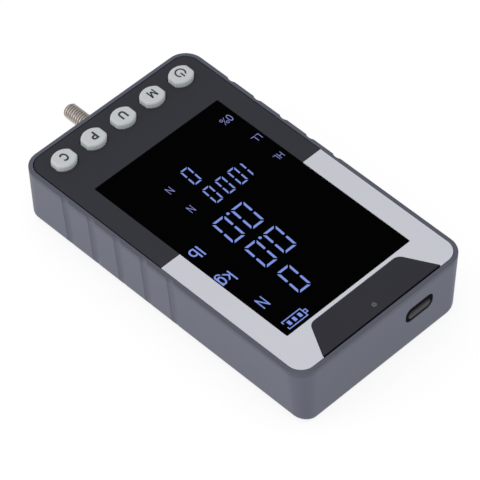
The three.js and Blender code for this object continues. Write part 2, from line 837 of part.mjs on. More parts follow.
function loadBracket() {
  const footTop = bracketFoot + bracketThickness;
  const upright = span(
    -cellWidth / 2,
    cellWidth / 2,
    cellStop,
    cellStop + bracketThickness,
    bracketFoot,
    cellTop + bracketRise,
  );
  const base = span(
    -cellWidth / 2,
    cellWidth / 2,
    cellStop,
    cellStop + bracketLength,
    bracketFoot,
    footTop,
  );
  const cellBores = signs.map((side) => at(
    alongY(rod(cellScrew.thread + slipGap, -cutOverrun, bracketThickness + cutOverrun, smallSides)),
    [side * cellScrewX, cellStop],
    studHeight,
  ));
  const headRooms = signs.map((side) => at(
    alongY(rod(cellScrew.head + slipGap, 0, cellScrew.headHeight + restGap)),
    [side * cellScrewX, cellStop + bracketThickness],
    studHeight,
  ));
  const footBores = bracketScrewPlaces.map((place) => at(
    rod(bracketScrew.thread + slipGap, bracketFoot - cutOverrun, footTop + cutOverrun, smallSides),
    place,
  ));
  return cut(join(upright, [base]), [...cellBores, ...headRooms, ...footBores]);
}

function loadStud() {
  const length = studReach + cellStudInset + studGrip;
  const profile = [
    [0, 0],
    [studRadius - studChamfer, 0],
    [studRadius, studChamfer],
    [studRadius, length - studChamfer],
    [studRadius - studChamfer, length],
    [0, length],
  ];
  return alongY(turned(profile, studSides));
}

function lockNut() {
  const hexRadius = nutAcross / 2 / Math.cos(Math.PI / 6);
  return alongY(prism(circle(hexRadius, 6), 0, nutThickness, [circle(studRadius + slipGap, studSides)]));
}

function studBush() {
  const inner = studRadius + runningGap;
  const outer = inner + bushWall;
  const flange = prism(
    circle(bushFlangeRadius, studSides),
    caseWall + restGap,
    caseWall + restGap + bushFlangeThickness,
    [circle(inner, studSides)],
  );
  const sleeve = prism(circle(outer, studSides), slipGap, caseWall + restGap + slipGap, [
    circle(inner, studSides),
  ]);
  return alongY(join(flange, [sleeve]));
}

function standInsert() {
  return prism(circle(insertRadius, middleSides), insertSink, insertSink + insertLength, [
    circle(insertBore, middleSides),
  ]);
}

// USB socket, its board, the dark ring round it and the dust cover
const linerBoreWidth = portWidth - 2 * linerWallSide;
const linerBoreTall = portTall - 2 * linerWallTop;

function usbLiner() {
  const ring = prism(pillSides(portWidth, portTall), -linerSink - linerDepth, -linerSink, [
    pillSides(linerBoreWidth, linerBoreTall),
  ]);
  return alongY(ring);
}

function usbCover() {
  const width = linerBoreWidth - 2 * slipGap;
  const cap = prism(
    pillSides(width, linerBoreTall - 2 * slipGap),
    -coverSink - coverThickness,
    -coverSink,
  );
  const dishRadius = ((coverDishWidth / 2) ** 2 + coverDishDepth ** 2) / (2 * coverDishDepth);
  const dishHalf = width / 2 - coverDishInset;
  const dish = rod(dishRadius, -dishHalf, dishHalf, gripSides)
    .rotateY(Math.PI / 2)
    .translate(0, 0, dishRadius - coverDishDepth - coverSink);
  return alongY(cut(cap, [dish]));
}

function usbShell() {
  const body = prism(pillSides(shellWidth, shellTall), -shellDepth, 0);
  const mouth = prism(
    pillSides(shellWidth - 2 * shellWall, shellTall - 2 * shellWall),
    -shellDepth + shellBack,
    cutOverrun,
  );
  return alongY(cut(body, [mouth]));
}

const usbTongue = () => block(tongueWidth, tongueLength, -tongueThickness / 2, tongueThickness / 2)
  .translate(0, -shellDepth + shellBack + tongueLength / 2, 0);

function usbBoard() {
  const plate = span(
    portX - usbBoardHalfX,
    portX + usbBoardHalfX,
    usbBoardStart,
    usbBoardStop,
    usbBoardBase,
    usbBoardTop,
  );
  const holes = usbScrewPlaces.map((place) => at(
    rod(usbScrew.thread + slipGap, usbBoardBase - cutOverrun, usbBoardTop + cutOverrun, smallSides),
    place,
  ));
  return cut(plate, holes);
}

// Case and front
add('housing', 'casePaint', housing());
add('front_panel', 'panelDark', frontPanel());
add('silver_bezel', 'silverTrim', silverBezel());
add('badge_plate', 'badgeDark', badgePlate());
add('light_pipe', 'pipeClear', lightPipe(), [...pipePlace, 0]);
add('display_window', 'lensBlack', displayWindow());

// Keys, each on its own switch
keyNames.forEach((name, i) => {
  const place = [...keyPlaces[i], 0];
  add(`key_${name}`, 'keyPlastic', keyCap(), place);
  add(`plunger_${name}`, 'blackPlastic', plunger(), place);
  add(`switch_${name}`, 'blackPlastic', switchBody(), place);
});

// Display module and main board
add('lcd_panel', 'displayGlass', glassPlate(0, glassBase, glassBase + glassThickness));
add('backlight', 'whitePlastic', glassPlate(0, backlightBase, glassBase));
add('lcd_frame', 'whitePlastic', lcdFrame());
add('main_board', 'boardGreen', mainBoard());
const led = block(ledWidth, ledDepth, boardTop, boardTop + ledHeight);
add('status_led', 'whitePlastic', led, [...pipePlace, 0]);
const buzzerX = caseWidth / 2 - buzzerSideInset;
add('buzzer', 'blackPlastic', buzzer(), [buzzerX, studEnd + buzzerStudInset, 0]);

// Load stud and cell
add('stud', 'steel', loadStud(), [0, studEnd - studReach, studHeight]);
const nutY = cellStart - studTravel - studSpare - nutThickness;
add('lock_nut', 'steel', lockNut(), [0, nutY, studHeight]);
add('stud_bush', 'blackPlastic', studBush(), [0, studFace, studHeight]);
add('load_cell', 'aluminium', loadCell());
add('load_bracket', 'steel', loadBracket());
signs.forEach((side, i) => {
  const name = `cell_screw_${i + 1}`;
  const geometry = screw(cellScrew).rotateX(Math.PI / 2);
  add(name, 'steel', geometry, [side * cellScrewX, cellStop + bracketThickness, studHeight]);
});

// Battery
const foamHalfX = batteryWidth / 2 - foamMargin;
const foamHalfY = batteryLength / 2 - foamMargin;
add('battery_pad', 'foam', block(2 * foamHalfX, 2 * foamHalfY, 0, foamThickness), [0, batteryY, caseFloor]);
add(
  'battery',
  'batteryWrap',
  prism(rectangle(batteryWidth / 2, batteryLength / 2, batteryCorner), 0, batteryThickness),
  [0, batteryY, caseFloor + foamThickness],
);

// USB socket
add('usb_liner', 'blackPlastic', usbLiner(), [portX, portFace, portHeight]);
add('usb_cover', 'greyRubber', usbCover(), [portX, portFace, portHeight]);
add('usb_shell', 'steel', usbShell(), [portX, shellFront, portHeight]);
add('usb_tongue', 'blackPlastic', usbTongue(), [portX, shellFront, portHeight]);
add('usb_board', 'boardGreen', usbBoard());

// Screws and inserts
const screwsUp = (prefix, finish, kind, places, seat) => places.forEach(([x, y], i) => {
  add(`${prefix}_${i + 1}`, finish, screw(kind), [x, y, seat]);
});
screwsUp('case_screw', 'blackSteel', caseScrew, postPlaces, headSink + caseScrew.headHeight);
screwsUp('bracket_screw', 'blackSteel', bracketScrew, bracketScrewPlaces, headSink + bracketScrew.headHeight);
screwsUp('board_screw', 'steel', boardScrew, boardPostPlaces, boardBase);
usbScrewPlaces.forEach(([x, y], i) => {
  add(`usb_screw_${i + 1}`, 'steel', screw(usbScrew).rotateX(Math.PI), [x, y, usbBoardTop]);
});
insertPlaces.forEach(([x, y], i) => {
  add(`stand_insert_${i + 1}`, 'brass', standInsert(), [x, y, 0]);
});

export default root;
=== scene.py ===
import json
from math import pi, radians, tan

import bpy
from mathutils import Matrix, Vector


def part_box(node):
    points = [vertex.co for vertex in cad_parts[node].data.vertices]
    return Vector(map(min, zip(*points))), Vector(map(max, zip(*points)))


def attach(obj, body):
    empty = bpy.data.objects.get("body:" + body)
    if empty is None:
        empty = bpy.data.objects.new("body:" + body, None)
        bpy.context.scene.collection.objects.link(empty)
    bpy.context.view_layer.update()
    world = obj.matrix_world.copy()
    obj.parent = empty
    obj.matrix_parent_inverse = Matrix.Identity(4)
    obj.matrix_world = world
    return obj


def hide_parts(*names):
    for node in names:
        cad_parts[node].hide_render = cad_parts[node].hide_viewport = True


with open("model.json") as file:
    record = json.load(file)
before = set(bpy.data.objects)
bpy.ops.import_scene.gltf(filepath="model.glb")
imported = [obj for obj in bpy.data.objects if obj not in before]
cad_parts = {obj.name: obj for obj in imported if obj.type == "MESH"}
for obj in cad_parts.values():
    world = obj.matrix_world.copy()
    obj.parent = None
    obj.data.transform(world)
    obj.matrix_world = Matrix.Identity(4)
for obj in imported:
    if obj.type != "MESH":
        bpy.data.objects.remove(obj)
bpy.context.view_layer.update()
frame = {"nodes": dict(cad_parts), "record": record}

mm = 0.001
slack = 0.02 * mm        # places closer than this count as one
weld = 0.002 * mm        # points closer than this are merged
scene = bpy.context.scene
caseBody = "case"


# Places in the frame

def middleOf(node):
    low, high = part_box(node)
    return (low + high) / 2


def nodesNamed(*starts):
    return sorted(name for name in frame["nodes"] if name.startswith(starts))


# Picking in edit mode

def leaveEditMode():
    if bpy.context.object and bpy.context.object.mode != "OBJECT":
        bpy.ops.object.mode_set(mode="OBJECT")


def selectOnly(*pieces):
    leaveEditMode()
    bpy.ops.object.select_all(action="DESELECT")
    for piece in pieces:
        piece.select_set(True)
    bpy.context.view_layer.objects.active = pieces[0]


def clearPicks(piece, kind):
    # nothing on the piece is picked, and it is ready to be picked by kind
    selectOnly(piece)
    bpy.ops.object.mode_set(mode="EDIT")
    bpy.ops.mesh.select_mode(type=kind)
    bpy.ops.mesh.select_all(action="DESELECT")
    bpy.ops.object.mode_set(mode="OBJECT")


def pickFaces(piece, wanted):
    # wanted is told the middle and the normal of each face
    clearPicks(piece, "FACE")
    for face in piece.data.polygons:
        face.select = wanted(face.center, face.normal)
    bpy.ops.object.mode_set(mode="EDIT")


def pickEdges(piece, wanted):
    # wanted is told both ends of each edge
    clearPicks(piece, "EDGE")
    points = piece.data.vertices
    for edge in piece.data.edges:
        first, last = (points[i].co for i in edge.vertices)
        edge.select = wanted(first, last)
    bpy.ops.object.mode_set(mode="EDIT")


def pickPoints(piece, wanted):
    clearPicks(piece, "VERT")
    for point in piece.data.vertices:
        point.select = wanted(point.co)
    bpy.ops.object.mode_set(mode="EDIT")


def near(value, target):
    return abs(value - target) < slack


def anywhere(*place):
    return True


def facing(*way):
    # faces turned this way
    return lambda middle, normal: normal.dot(Vector(way)) > 0.9


def level(height):
    # edges that lie level at this height
    return lambda first, last: near(first.z, height) and near(last.z, height)


def along(axis):
    # edges that run along X, Y or Z, given as 0, 1 or 2
    others = {0, 1, 2} - {axis}
    return lambda first, last: all(near(first[i], last[i]) for i in others)


# Shaping

def applyPlace(piece):
    selectOnly(piece)
    bpy.ops.object.transform_apply(location=True, rotation=True, scale=True)
    return piece


def startBlock(name, low, high):
    low, high = Vector(low), Vector(high)
    bpy.ops.mesh.primitive_cube_add(size=1, location=(low + high) / 2, scale=high - low)
    piece = bpy.context.object
    piece.name = name
    return applyPlace(piece)


def startRod(name, radius, start, end, sides=32):
    # a round bar from one point to another
    start, end = Vector(start), Vector(end)
    way = end - start
    bpy.ops.mesh.primitive_cylinder_add(
        vertices=sides,
        radius=radius,
        depth=way.length,
        location=(start + end) / 2,
        rotation=way.to_track_quat("Z", "Y").to_euler(),
    )
    piece = bpy.context.object
    piece.name = name
    return applyPlace(piece)


def bevelEdges(piece, wanted, width, steps=2):
    pickEdges(piece, wanted)
    bpy.ops.mesh.bevel(offset=width, segments=steps, affect="EDGES")
    leaveEditMode()


def roundBlock(name, low, high, corner, steps=10):
    # a block whose upright edges are rounded
    piece = startBlock(name, low, high)
    bevelEdges(piece, along(2), corner, steps)
    return piece


def slotBlock(name, centre, width, tall, back, face, corner):
    # a block along Y whose long edges are rounded
    piece = startBlock(
        name,
        (centre.x - width / 2, back, centre.z - tall / 2),
        (centre.x + width / 2, face, centre.z + tall / 2),
    )
    bevelEdges(piece, along(1), corner, steps=12)
    return piece


def applyModifier(piece, kind, **settings):
    selectOnly(piece)
    modifier = piece.modifiers.new(kind.title(), kind)
    for name, value in settings.items():
        setattr(modifier, name, value)
    bpy.ops.object.modifier_apply(modifier=modifier.name)


def discard(piece):
    mesh = piece.data
    bpy.data.objects.remove(piece)
    bpy.data.meshes.remove(mesh)


def carve(piece, cutters, operation="DIFFERENCE"):
    for cutter in cutters:
        applyModifier(piece, "BOOLEAN", object=cutter, operation=operation, solver="EXACT")
        discard(cutter)


def joinAll(pieces):
    selectOnly(*pieces)
    if len(pieces) > 1:
        bpy.ops.object.join()
    return bpy.context.object


def copyOf(piece, name, shift):
    # a copy with a mesh of its own, moved within that mesh
    twin = piece.copy()
    twin.data = piece.data.copy()
    twin.name = name
    scene.collection.objects.link(twin)
    twin.data.transform(Matrix.Translation(Vector(shift)))
    return twin


def softenEdges(piece, width, steps=2, angle=40):
    applyModifier(
        piece,
        "BEVEL",
        width=width,
        segments=steps,
        limit_method="ANGLE",
        angle_limit=radians(angle),
        miter_outer="MITER_ARC",
        use_clamp_overlap=True,
    )


def smooth(piece, angle=35, weighted=True):
    selectOnly(piece)
    bpy.ops.object.shade_smooth_by_angle(angle=radians(angle))
    if weighted:
        applyModifier(piece, "WEIGHTED_NORMAL", keep_sharp=True, weight=60)


def cleanNormals(piece):
    pickFaces(piece, anywhere)
    bpy.ops.mesh.remove_doubles(threshold=weld)
    bpy.ops.mesh.normals_make_consistent(inside=False)
    leaveEditMode()


# Materials

class Wire:
    # one value on its way through a material's nodes
    def __init__(self, finish, socket):
        self.finish = finish
        self.socket = socket

    def math(self, operation, *values):
        return self.finish.node("ShaderNodeMath", {"operation": operation}, dict(enumerate(values)))

    def __add__(self, other):
        return self.math("ADD", self, other)

    __radd__ = __add__

    def __sub__(self, other):
        return self.math("SUBTRACT", self, other)

    def __rsub__(self, other):
        return self.math("SUBTRACT", other, self)

    def __mul__(self, other):
        return self.math("MULTIPLY", self, other)

    __rmul__ = __mul__

    def __truediv__(self, other):
        return self.math("DIVIDE", self, other)

    def __rtruediv__(self, other):
        return self.math("DIVIDE", other, self)

    def __pow__(self, other):
        return self.math("POWER", self, other)

    def __rpow__(self, other):
        return self.math("POWER", other, self)


class Finish:
    # one material, with its shader and the nodes that feed it
    def __init__(self, name, **constants):
        self.material = bpy.data.materials.new(name)
        self.material.use_nodes = True
        self.tree = self.material.node_tree
        self.tree.nodes.clear()
        out = self.tree.nodes.new("ShaderNodeOutputMaterial")
        self.shader = self.tree.nodes.new("ShaderNodeBsdfPrincipled")
        self.tree.links.new(self.shader.outputs[0], out.inputs["Surface"])
        self.set(**constants)
        self.place = self.node("ShaderNodeTexCoord", output="Object")

    def node(self, kind, settings=None, values=None, output=0):
        node = self.tree.nodes.new(kind)
        for name, value in (settings or {}).items():
            setattr(node, name, value)
        for name, value in (values or {}).items():
            self.feed(node.inputs[name], value)
        return Wire(self, node.outputs[output])

    def feed(self, socket, value):
        if isinstance(value, Wire):
            self.tree.links.new(value.socket, socket)
        else:
            socket.default_value = value

    def set(self, **values):
        for label, value in values.items():
            self.feed(self.shader.inputs[label.replace("_", " ")], value)

    def noise(self, scale, detail=2, roughness=0.5, stretch=(1, 1, 1)):
        # scale is in lumps per millimetre
        place = self.node(
            "ShaderNodeMapping",
            values={"Vector": self.place, "Scale": tuple(share / mm for share in stretch)},
        )
        return self.node(
            "ShaderNodeTexNoise",
            values={"Vector": place, "Scale": scale, "Detail": detail, "Roughness": roughness},
        )

    def axis(self, name):
        # one coordinate in millimetres
        return self.node("ShaderNodeSeparateXYZ", values={"Vector": self.place}, output=name) / mm

    def offset(self, name, node):
        # one coordinate in millimetres, from the middle of a node
        return self.axis(name) - getattr(middleOf(node), name.lower()) / mm

    def reach(self, names, node):
        # how far a point lies, in two coordinates, from the middle of a node
        first, last = (self.offset(name, node) for name in names)
        return (first * first + last * last) ** 0.5

    def band(self, value, start, stop):
        # 0 below start, 1 above stop, smooth between
        return self.node(
            "ShaderNodeMapRange",
            {"interpolation_type": "SMOOTHSTEP"},
            {"Value": value, "From Min": start, "From Max": stop},
        )

    def blend(self, share, first, last):
        # from one colour to another
        return self.node(
            "ShaderNodeMix",
            {"data_type": "RGBA"},
            {"Factor": share, "A": first, "B": last},
            output="Result",
        )

    def mottled(self, colour, less, more, scale=0.05, detail=2):
        # a colour that drifts between two shades of itself
        return self.blend(self.noise(scale, detail), shaded(colour, less), shaded(colour, more))

    def bump(self, height, strength, distance):
        return self.node(
            "ShaderNodeBump",
            values={"Height": height, "Strength": strength, "Distance": distance * mm},
            output="Normal",
        )


def grey(tone):
    return (tone, tone, tone, 1)


def shaded(colour, factor):
    return tuple(part * factor for part in colour[:3]) + (1,)


def mouldedGrain(name, roughness, grain=4.0, grainDepth=0.2, **constants):
    # a moulded surface before its colour: fine grain, and a gloss that drifts a little with it
    finish = Finish(name, **constants)
    fine = finish.noise(grain, detail=4, roughness=0.6)
    finish.set(Roughness=roughness - 0.04 + 0.08 * fine, Normal=finish.bump(fine, grainDepth, 0.02))
    return finish


def mouldedPlastic(name, colour, **looks):
    finish = mouldedGrain(name, **looks)
    finish.set(Base_Color=finish.mottled(colour, 0.95, 1.05))
    return finish


def workedGrain(name, roughness, grain=6.0, stretch=(1, 1, 1)):
    # worked metal before its colour: scratches that change its gloss
    finish = Finish(name, Metallic=1.0)
    scratches = finish.noise(grain, detail=5, roughness=0.65, stretch=stretch)
    finish.set(Roughness=roughness - 0.08 + 0.16 * scratches, Normal=finish.bump(scratches, 0.15, 0.01))
    return finish


def metal(name, colour, **looks):
    finish = workedGrain(name, **looks)
    finish.set(Base_Color=finish.mottled(colour, 0.9, 1.08, scale=0.3))
    return finish


print("materials")
tones = {
    "case": (0.086, 0.0945, 0.137, 1),
    "panel": (0.0246, 0.0254, 0.0330, 1),
    "silver": (0.59, 0.602, 0.66, 1),
    "badge": (0.0194, 0.0190, 0.0280, 1),
    "lens": (0.0002, 0.0002, 0.0003, 1),
    "figures": (0.215, 0.30, 0.74, 1),
    "dimFigures": (0.23, 0.25, 0.57, 1),
    "keys": (0.507, 0.533, 0.549, 1),
    "legend": (0.014, 0.017, 0.024, 1),
    "nickel": (0.72, 0.66, 0.62, 1),
    "steel": (0.56, 0.56, 0.57, 1),
    "blackSteel": (0.03, 0.03, 0.032, 1),
    "brass": (0.62, 0.42, 0.16, 1),
    "aluminium": (0.70, 0.71, 0.73, 1),
    "black": (0.003, 0.003, 0.0055, 1),
    "white": (0.80, 0.80, 0.77, 1),
    "rubber": (0.074, 0.074, 0.079, 1),
    "foam": (0.02, 0.02, 0.022, 1),
    "wrap": (0.32, 0.36, 0.42, 1),
    "board": (0.012, 0.10, 0.04, 1),
    "pipe": (0.096, 0.087, 0.094, 1),
}


# heights in millimetres, and the painted shade of each part: how much lighter or darker it is painted
caseLook = {
    "rimStart": 24.6, "rimStop": 25.3, "rimPaintedShade": 0.74,
    "wallTop": 24, "backPaintedShade": 0.91, "frontPaintedLight": 1.06,
}


def caseFinish():
    # painted shade: the rim round the front, down to the top of the walls, is painted darker than the walls,
    # and the walls are painted a little darker towards the back
    finish = mouldedGrain("caseGrey", 0.5, grain=5.0, grainDepth=0.25)
    height = finish.axis("Z")
    # the walls' tone is half random and half painted shade, darker towards the back
    drift = (finish.noise(0.05) + finish.band(height, 0, caseLook["wallTop"])) * 0.5
    back, front = (shaded(tones["case"], caseLook[end]) for end in ("backPaintedShade", "frontPaintedLight"))
    # where the painted shade over the rim begins
    rim = finish.band(height, caseLook["rimStart"], caseLook["rimStop"])
    walls = finish.blend(drift, back, front)
    finish.set(Base_Color=finish.blend(rim, walls, shaded(tones["case"], caseLook["rimPaintedShade"])))
    return finish


# depths in millimetres below the top of a key
keyLook = {"sideDepth": 1.3, "topDepth": 0.3, "sidePaintedLight": 1.22}


def keyFinish():
    # painted light: the sides of a key are painted lighter than its top, standing in for the light they catch
    finish = mouldedGrain("keyPlastic", 0.42, grain=7.0, grainDepth=0.1)
    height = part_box("key_c")[1].z / mm
    # painted light on the sides, fading out towards the top
    rise = finish.band(finish.axis("Z"), height - keyLook["sideDepth"], height - keyLook["topDepth"])
    top = finish.mottled(tones["keys"], 0.98, 1.02)
    finish.set(Base_Color=finish.blend(rise, shaded(tones["keys"], keyLook["sidePaintedLight"]), top))
    return finish


# depths in millimetres below the crests of the thread
studLook = {"rootDepth": 0.45, "crestDepth": 0.1, "rootPaintedShade": 0.55}


def studFinish():
    # painted shade in the roots of the thread: the crests keep the nickel colour and the roots are darker,
    # told apart by the distance from the stud's axis
    finish = workedGrain("studNickel", 0.42, grain=5.0)
    low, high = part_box("stud")
    radius = (high.x - low.x) / 2 / mm
    reach = finish.reach("XZ", "stud")
    crest = finish.band(reach, radius - studLook["rootDepth"], radius - studLook["crestDepth"])
    bright = finish.mottled(tones["nickel"], 0.9, 1.08, scale=0.3)
    finish.set(Base_Color=finish.blend(crest, shaded(tones["nickel"], studLook["rootPaintedShade"]), bright))
    return finish


# heights in millimetres from the middle of the cover
coverLook = {"shadeStart": -1.2, "shadeStop": 0.7, "lipPaintedShadow": 0.12}


def coverFinish():
    # dusty rubber, with a painted shadow under the lip of the ring: darker towards its top
    finish = mouldedGrain("coverRubber", 0.7, grain=5.0, grainDepth=0.3, Specular_IOR_Level=0.1)
    # painted shadow, darker towards the top of the cover
    lip = finish.band(finish.offset("Z", "usb_cover"), coverLook["shadeStart"], coverLook["shadeStop"])
    finish.set(Base_Color=finish.blend(lip, tones["rubber"], shaded(tones["rubber"], coverLook["lipPaintedShadow"])))
    return finish


# distances in millimetres from the middle of the indicator
pipeLook = {"spot": (0.1, 0.5), "spotShade": 0.4, "edge": (0.65, 1.05), "edgeShadeShare": 0.6}


def pipeFinish():
    # milky, darker in its middle, and with painted shade towards its edge
    finish = mouldedGrain("pipeMilky", 0.3, Specular_IOR_Level=0.3)
    reach = finish.reach("XY", "light_pipe")
    ring = finish.band(reach, *pipeLook["spot"])
    # painted shade towards the edge of the dot
    ring = ring * (1 - pipeLook["edgeShadeShare"] * finish.band(reach, *pipeLook["edge"]))
    finish.set(Base_Color=finish.blend(ring, shaded(tones["pipe"], pipeLook["spotShade"]), tones["pipe"]))
    return finish


def silverFinish():
    # fine flakes in satin paint
    finish = Finish("silverTrim", Metallic=0.25)
    flake = finish.noise(9.0, roughness=0.7)
    finish.set(
        Base_Color=finish.mottled(tones["silver"], 0.97, 1.03, scale=0.03, detail=1),
        Roughness=0.36 + 0.1 * flake,
        Normal=finish.bump(flake, 0.06, 0.01),
    )
    return finish


def lensFinish():
    finish = Finish("lensBlack", Specular_IOR_Level=0.01)
    haze = finish.noise(0.06, detail=3)
    finish.set(
        Base_Color=finish.blend(haze, shaded(tones["lens"], 0.8), shaded(tones["lens"], 1.3)),
        Roughness=0.10 + 0.06 * haze,
    )
    return finish


def figureFinish(name, tone):
    # lit bars that glow a little unevenly
    finish = Finish(name, Roughness=0.5, Specular_IOR_Level=0.0, Emission_Strength=1.0)
    finish.set(
        Emission_Color=finish.mottled(tone, 0.93, 1.07, scale=1.5, detail=1),
        Base_Color=grey(0.002),
    )
    return finish


finishes = {
    "case_grey": caseFinish(),
    "panel_dark": mouldedPlastic(
        "panelDark", tones["panel"], roughness=0.45, grain=6.0, grainDepth=0.15, Specular_IOR_Level=0.17,
    ),
    "trim_silver": silverFinish(),
    "badge_dark": mouldedPlastic(
        "badgeDark", tones["badge"], roughness=0.4, grain=6.0, grainDepth=0.1, Specular_IOR_Level=0.2,
    ),
    "lens_black": lensFinish(),
    "display_figures": figureFinish("litFigures", tones["figures"]),
    "key_plastic": keyFinish(),
    "stud_steel": studFinish(),
    "plain_steel": metal("plainSteel", tones["steel"], roughness=0.35),
    "black_steel": metal("blackSteel", tones["blackSteel"], roughness=0.4),
    "insert_brass": metal("insertBrass", tones["brass"], roughness=0.35),
    "cell_aluminium": metal("milledAluminium", tones["aluminium"], roughness=0.38, stretch=(0.2, 4, 1)),
    "black_plastic": mouldedPlastic(
        "blackPlastic", tones["black"], roughness=0.6, Specular_IOR_Level=0.015,
    ),
    "white_plastic": mouldedPlastic("whitePlastic", tones["white"], roughness=0.5),
    "cover_rubber": coverFinish(),
    "foam": mouldedPlastic("padFoam", tones["foam"], roughness=0.9, grain=2.0, grainDepth=0.8),
    "battery_wrap": mouldedPlastic("batteryWrap", tones["wrap"], roughness=0.35, grain=1.0, grainDepth=0.1),
    "board_green": mouldedPlastic("boardGreen", tones["board"], roughness=0.4, grain=3.0),
    "pipe_clear": pipeFinish(),
}
legendFinish = mouldedPlastic("legendInk", tones["legend"], roughness=0.5)
dimFinish = figureFinish("dimFigures", tones["dimFigures"])

slotOfNode = {part["node"]: part["material_slot"] for part in frame["record"]["subparts"]}
for nodeName, node in frame["nodes"].items():
    node.data.materials.clear()
    node.data.materials.append(finishes[slotOfNode[nodeName]].material)


def settle(piece, name, body, slotName, finish=None, nodes=()):
    # the last step of every piece: its name, finish, body and the nodes that it stands for
    leaveEditMode()
    piece.name = name
    piece.data.name = name
    piece.data.materials.clear()
    piece.data.materials.append((finish or finishes[slotName]).material)
    if nodes:
        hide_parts(*nodes)
    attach(piece, body)


# Case

print("case")
case = {
    "sideLean": 2.5 * mm, "endLean": 0.3 * mm,
    "topCorner": 7.6 * mm, "backCorner": 5.2 * mm, "cornerSteps": 10,
    "rimDrop": 0.25 * mm, "rimSide": 1.75 * mm, "rimEnd": 1.65 * mm, "rimSoft": 0.22 * mm,
    "backSideEdge": 4.1 * mm, "backEndEdge": 1.5 * mm, "backSteps": 6,
    "mouthDepth": 3.5 * mm, "ledge": 1.3 * mm, "floor": 2.6 * mm, "floorTaper": (0.95, 0.99, 1),
    "gripCount": 5, "gripPitch": 12.8 * mm, "gripFirst": 22.7 * mm,
    "gripRadius": 2.8 * mm, "gripDepth": 0.7 * mm,
    "portCentre": Vector((-16.95 * mm, 0, 16.2 * mm)), "portSize": (13.3 * mm, 6.8 * mm),
    "portCorner": 2.7 * mm, "portDepth": 8 * mm,
    "bushHole": 5.1 * mm, "bushDepth": 8 * mm,
    "screwHole": 3 * mm, "screwDepth": 2 * mm,
    "insertHole": 2.25 * mm, "insertDepth": 6.2 * mm,
}


def roundPlane(name, halfX, halfY, height, corner):
    # a flat plate outline with rounded corners
    bpy.ops.mesh.primitive_plane_add(size=1, location=(0, 0, height))
    piece = bpy.context.object
    piece.name = name
    piece.scale = (2 * halfX, 2 * halfY, 1)
    applyPlace(piece)
    pickPoints(piece, anywhere)
    bpy.ops.mesh.bevel(offset=corner, segments=case["cornerSteps"], affect="VERTICES")
    leaveEditMode()
    return piece


def caseBlank(rimBase):
    low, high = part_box("housing")
    halfX, halfY = high.x - case["sideLean"], high.y - case["endLean"]
    piece = joinAll([
        roundPlane("caseBack", halfX, halfY, low.z, case["backCorner"]),
        roundPlane("caseTop", high.x, high.y, rimBase, case["topCorner"]),
    ])
    pickFaces(piece, anywhere)
    bpy.ops.mesh.bridge_edge_loops()
    cleanNormals(piece)
    return piece


def hollowCase(piece, rimBase):
    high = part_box("housing")[1]
    pickFaces(piece, lambda middle, normal: near(middle.z, rimBase) and normal.z > 0.9)
    bpy.ops.mesh.inset(thickness=case["rimSide"], use_even_offset=True)
    endShare = (high.y - case["rimEnd"]) / (high.y - case["rimSide"])
    bpy.ops.transform.resize(value=(1, endShare, 1), center_override=(0, 0, 0))
    bpy.ops.transform.translate(value=(0, 0, case["rimDrop"]))
    bpy.ops.mesh.extrude_region_move(TRANSFORM_OT_translate={"value": (0, 0, -case["mouthDepth"])})
    bpy.ops.mesh.inset(thickness=case["ledge"], use_even_offset=True)
    deep = high.z - case["mouthDepth"] - case["floor"]
    bpy.ops.mesh.extrude_region_move(TRANSFORM_OT_translate={"value": (0, 0, -deep)})
    bpy.ops.transform.resize(value=case["floorTaper"], center_override=(0, 0, 0))
    leaveEditMode()


def roundBack(piece):
    # wider along the sides than along the ends, with the corners in between
    flat = level(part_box("housing")[0].z)
    points = piece.data.vertices
    least = case["backEndEdge"] / case["backSideEdge"]
    weights = piece.data.attributes.new("bevel_weight_edge", "FLOAT", "EDGE")
    for edge in piece.data.edges:
        first, last = (points[i].co for i in edge.vertices)
        if flat(first, last):
            way = (last - first).normalized()
            weights.data[edge.index].value = least + (1 - least) * abs(way.y)
    applyModifier(
        piece, "BEVEL", width=case["backSideEdge"], segments=case["backSteps"], limit_method="WEIGHT",
    )


def gripCutter(side, y, rimBase):
    # a long rod that leans as the side wall does
    low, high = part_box("housing")
    lean = case["sideLean"] / rimBase
    out = case["gripRadius"] - case["gripDepth"]
    xAtBack = high.x - case["sideLean"] + out
    start = (side * (xAtBack - lean * rimBase), y, low.z - rimBase)
    end = (side * (xAtBack + 2 * lean * rimBase), y, low.z + 2 * rimBase)
    return startRod("grip", case["gripRadius"], start, end, sides=96)


def backHoles(radius, depth, *starts):
    # a round hole in the back at each node whose name starts so
    spots = [middleOf(name) for name in nodesNamed(*starts)]
    return [startRod("hole", radius, (spot.x, spot.y, -mm), (spot.x, spot.y, depth)) for spot in spots]


def caseCutters(rimBase):
    low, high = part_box("housing")
    grips = [
        gripCutter(side, low.y + case["gripFirst"] + i * case["gripPitch"], rimBase)
        for side in (-1, 1)
        for i in range(case["gripCount"])
    ]
    start, stop = high.y - case["portDepth"], high.y + mm
    port = slotBlock("port", case["portCentre"], *case["portSize"], start, stop, case["portCorner"])
    start, stop, height = low.y - mm, low.y + case["bushDepth"], middleOf("stud").z
    bushHole = startRod("bushHole", case["bushHole"], (0, start, height), (0, stop, height), sides=48)
    holes = backHoles(case["screwHole"], case["screwDepth"], "case_screw", "bracket_screw")
    holes += backHoles(case["insertHole"], case["insertDepth"], "stand_insert")
    return [joinAll(grips), port, bushHole, joinAll(holes)]


def makeCase():
    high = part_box("housing")[1]
    rimBase = high.z - case["rimDrop"]
    piece = caseBlank(rimBase)
    hollowCase(piece, rimBase)
    roundBack(piece)
    for height in (high.z, rimBase):
        bevelEdges(piece, level(height), case["rimSoft"])
    carve(piece, caseCutters(rimBase))
    smooth(piece)
    settle(piece, "case_shell", caseBody, "case_grey", nodes=["housing"])


makeCase()


# Front panel, trim and badge

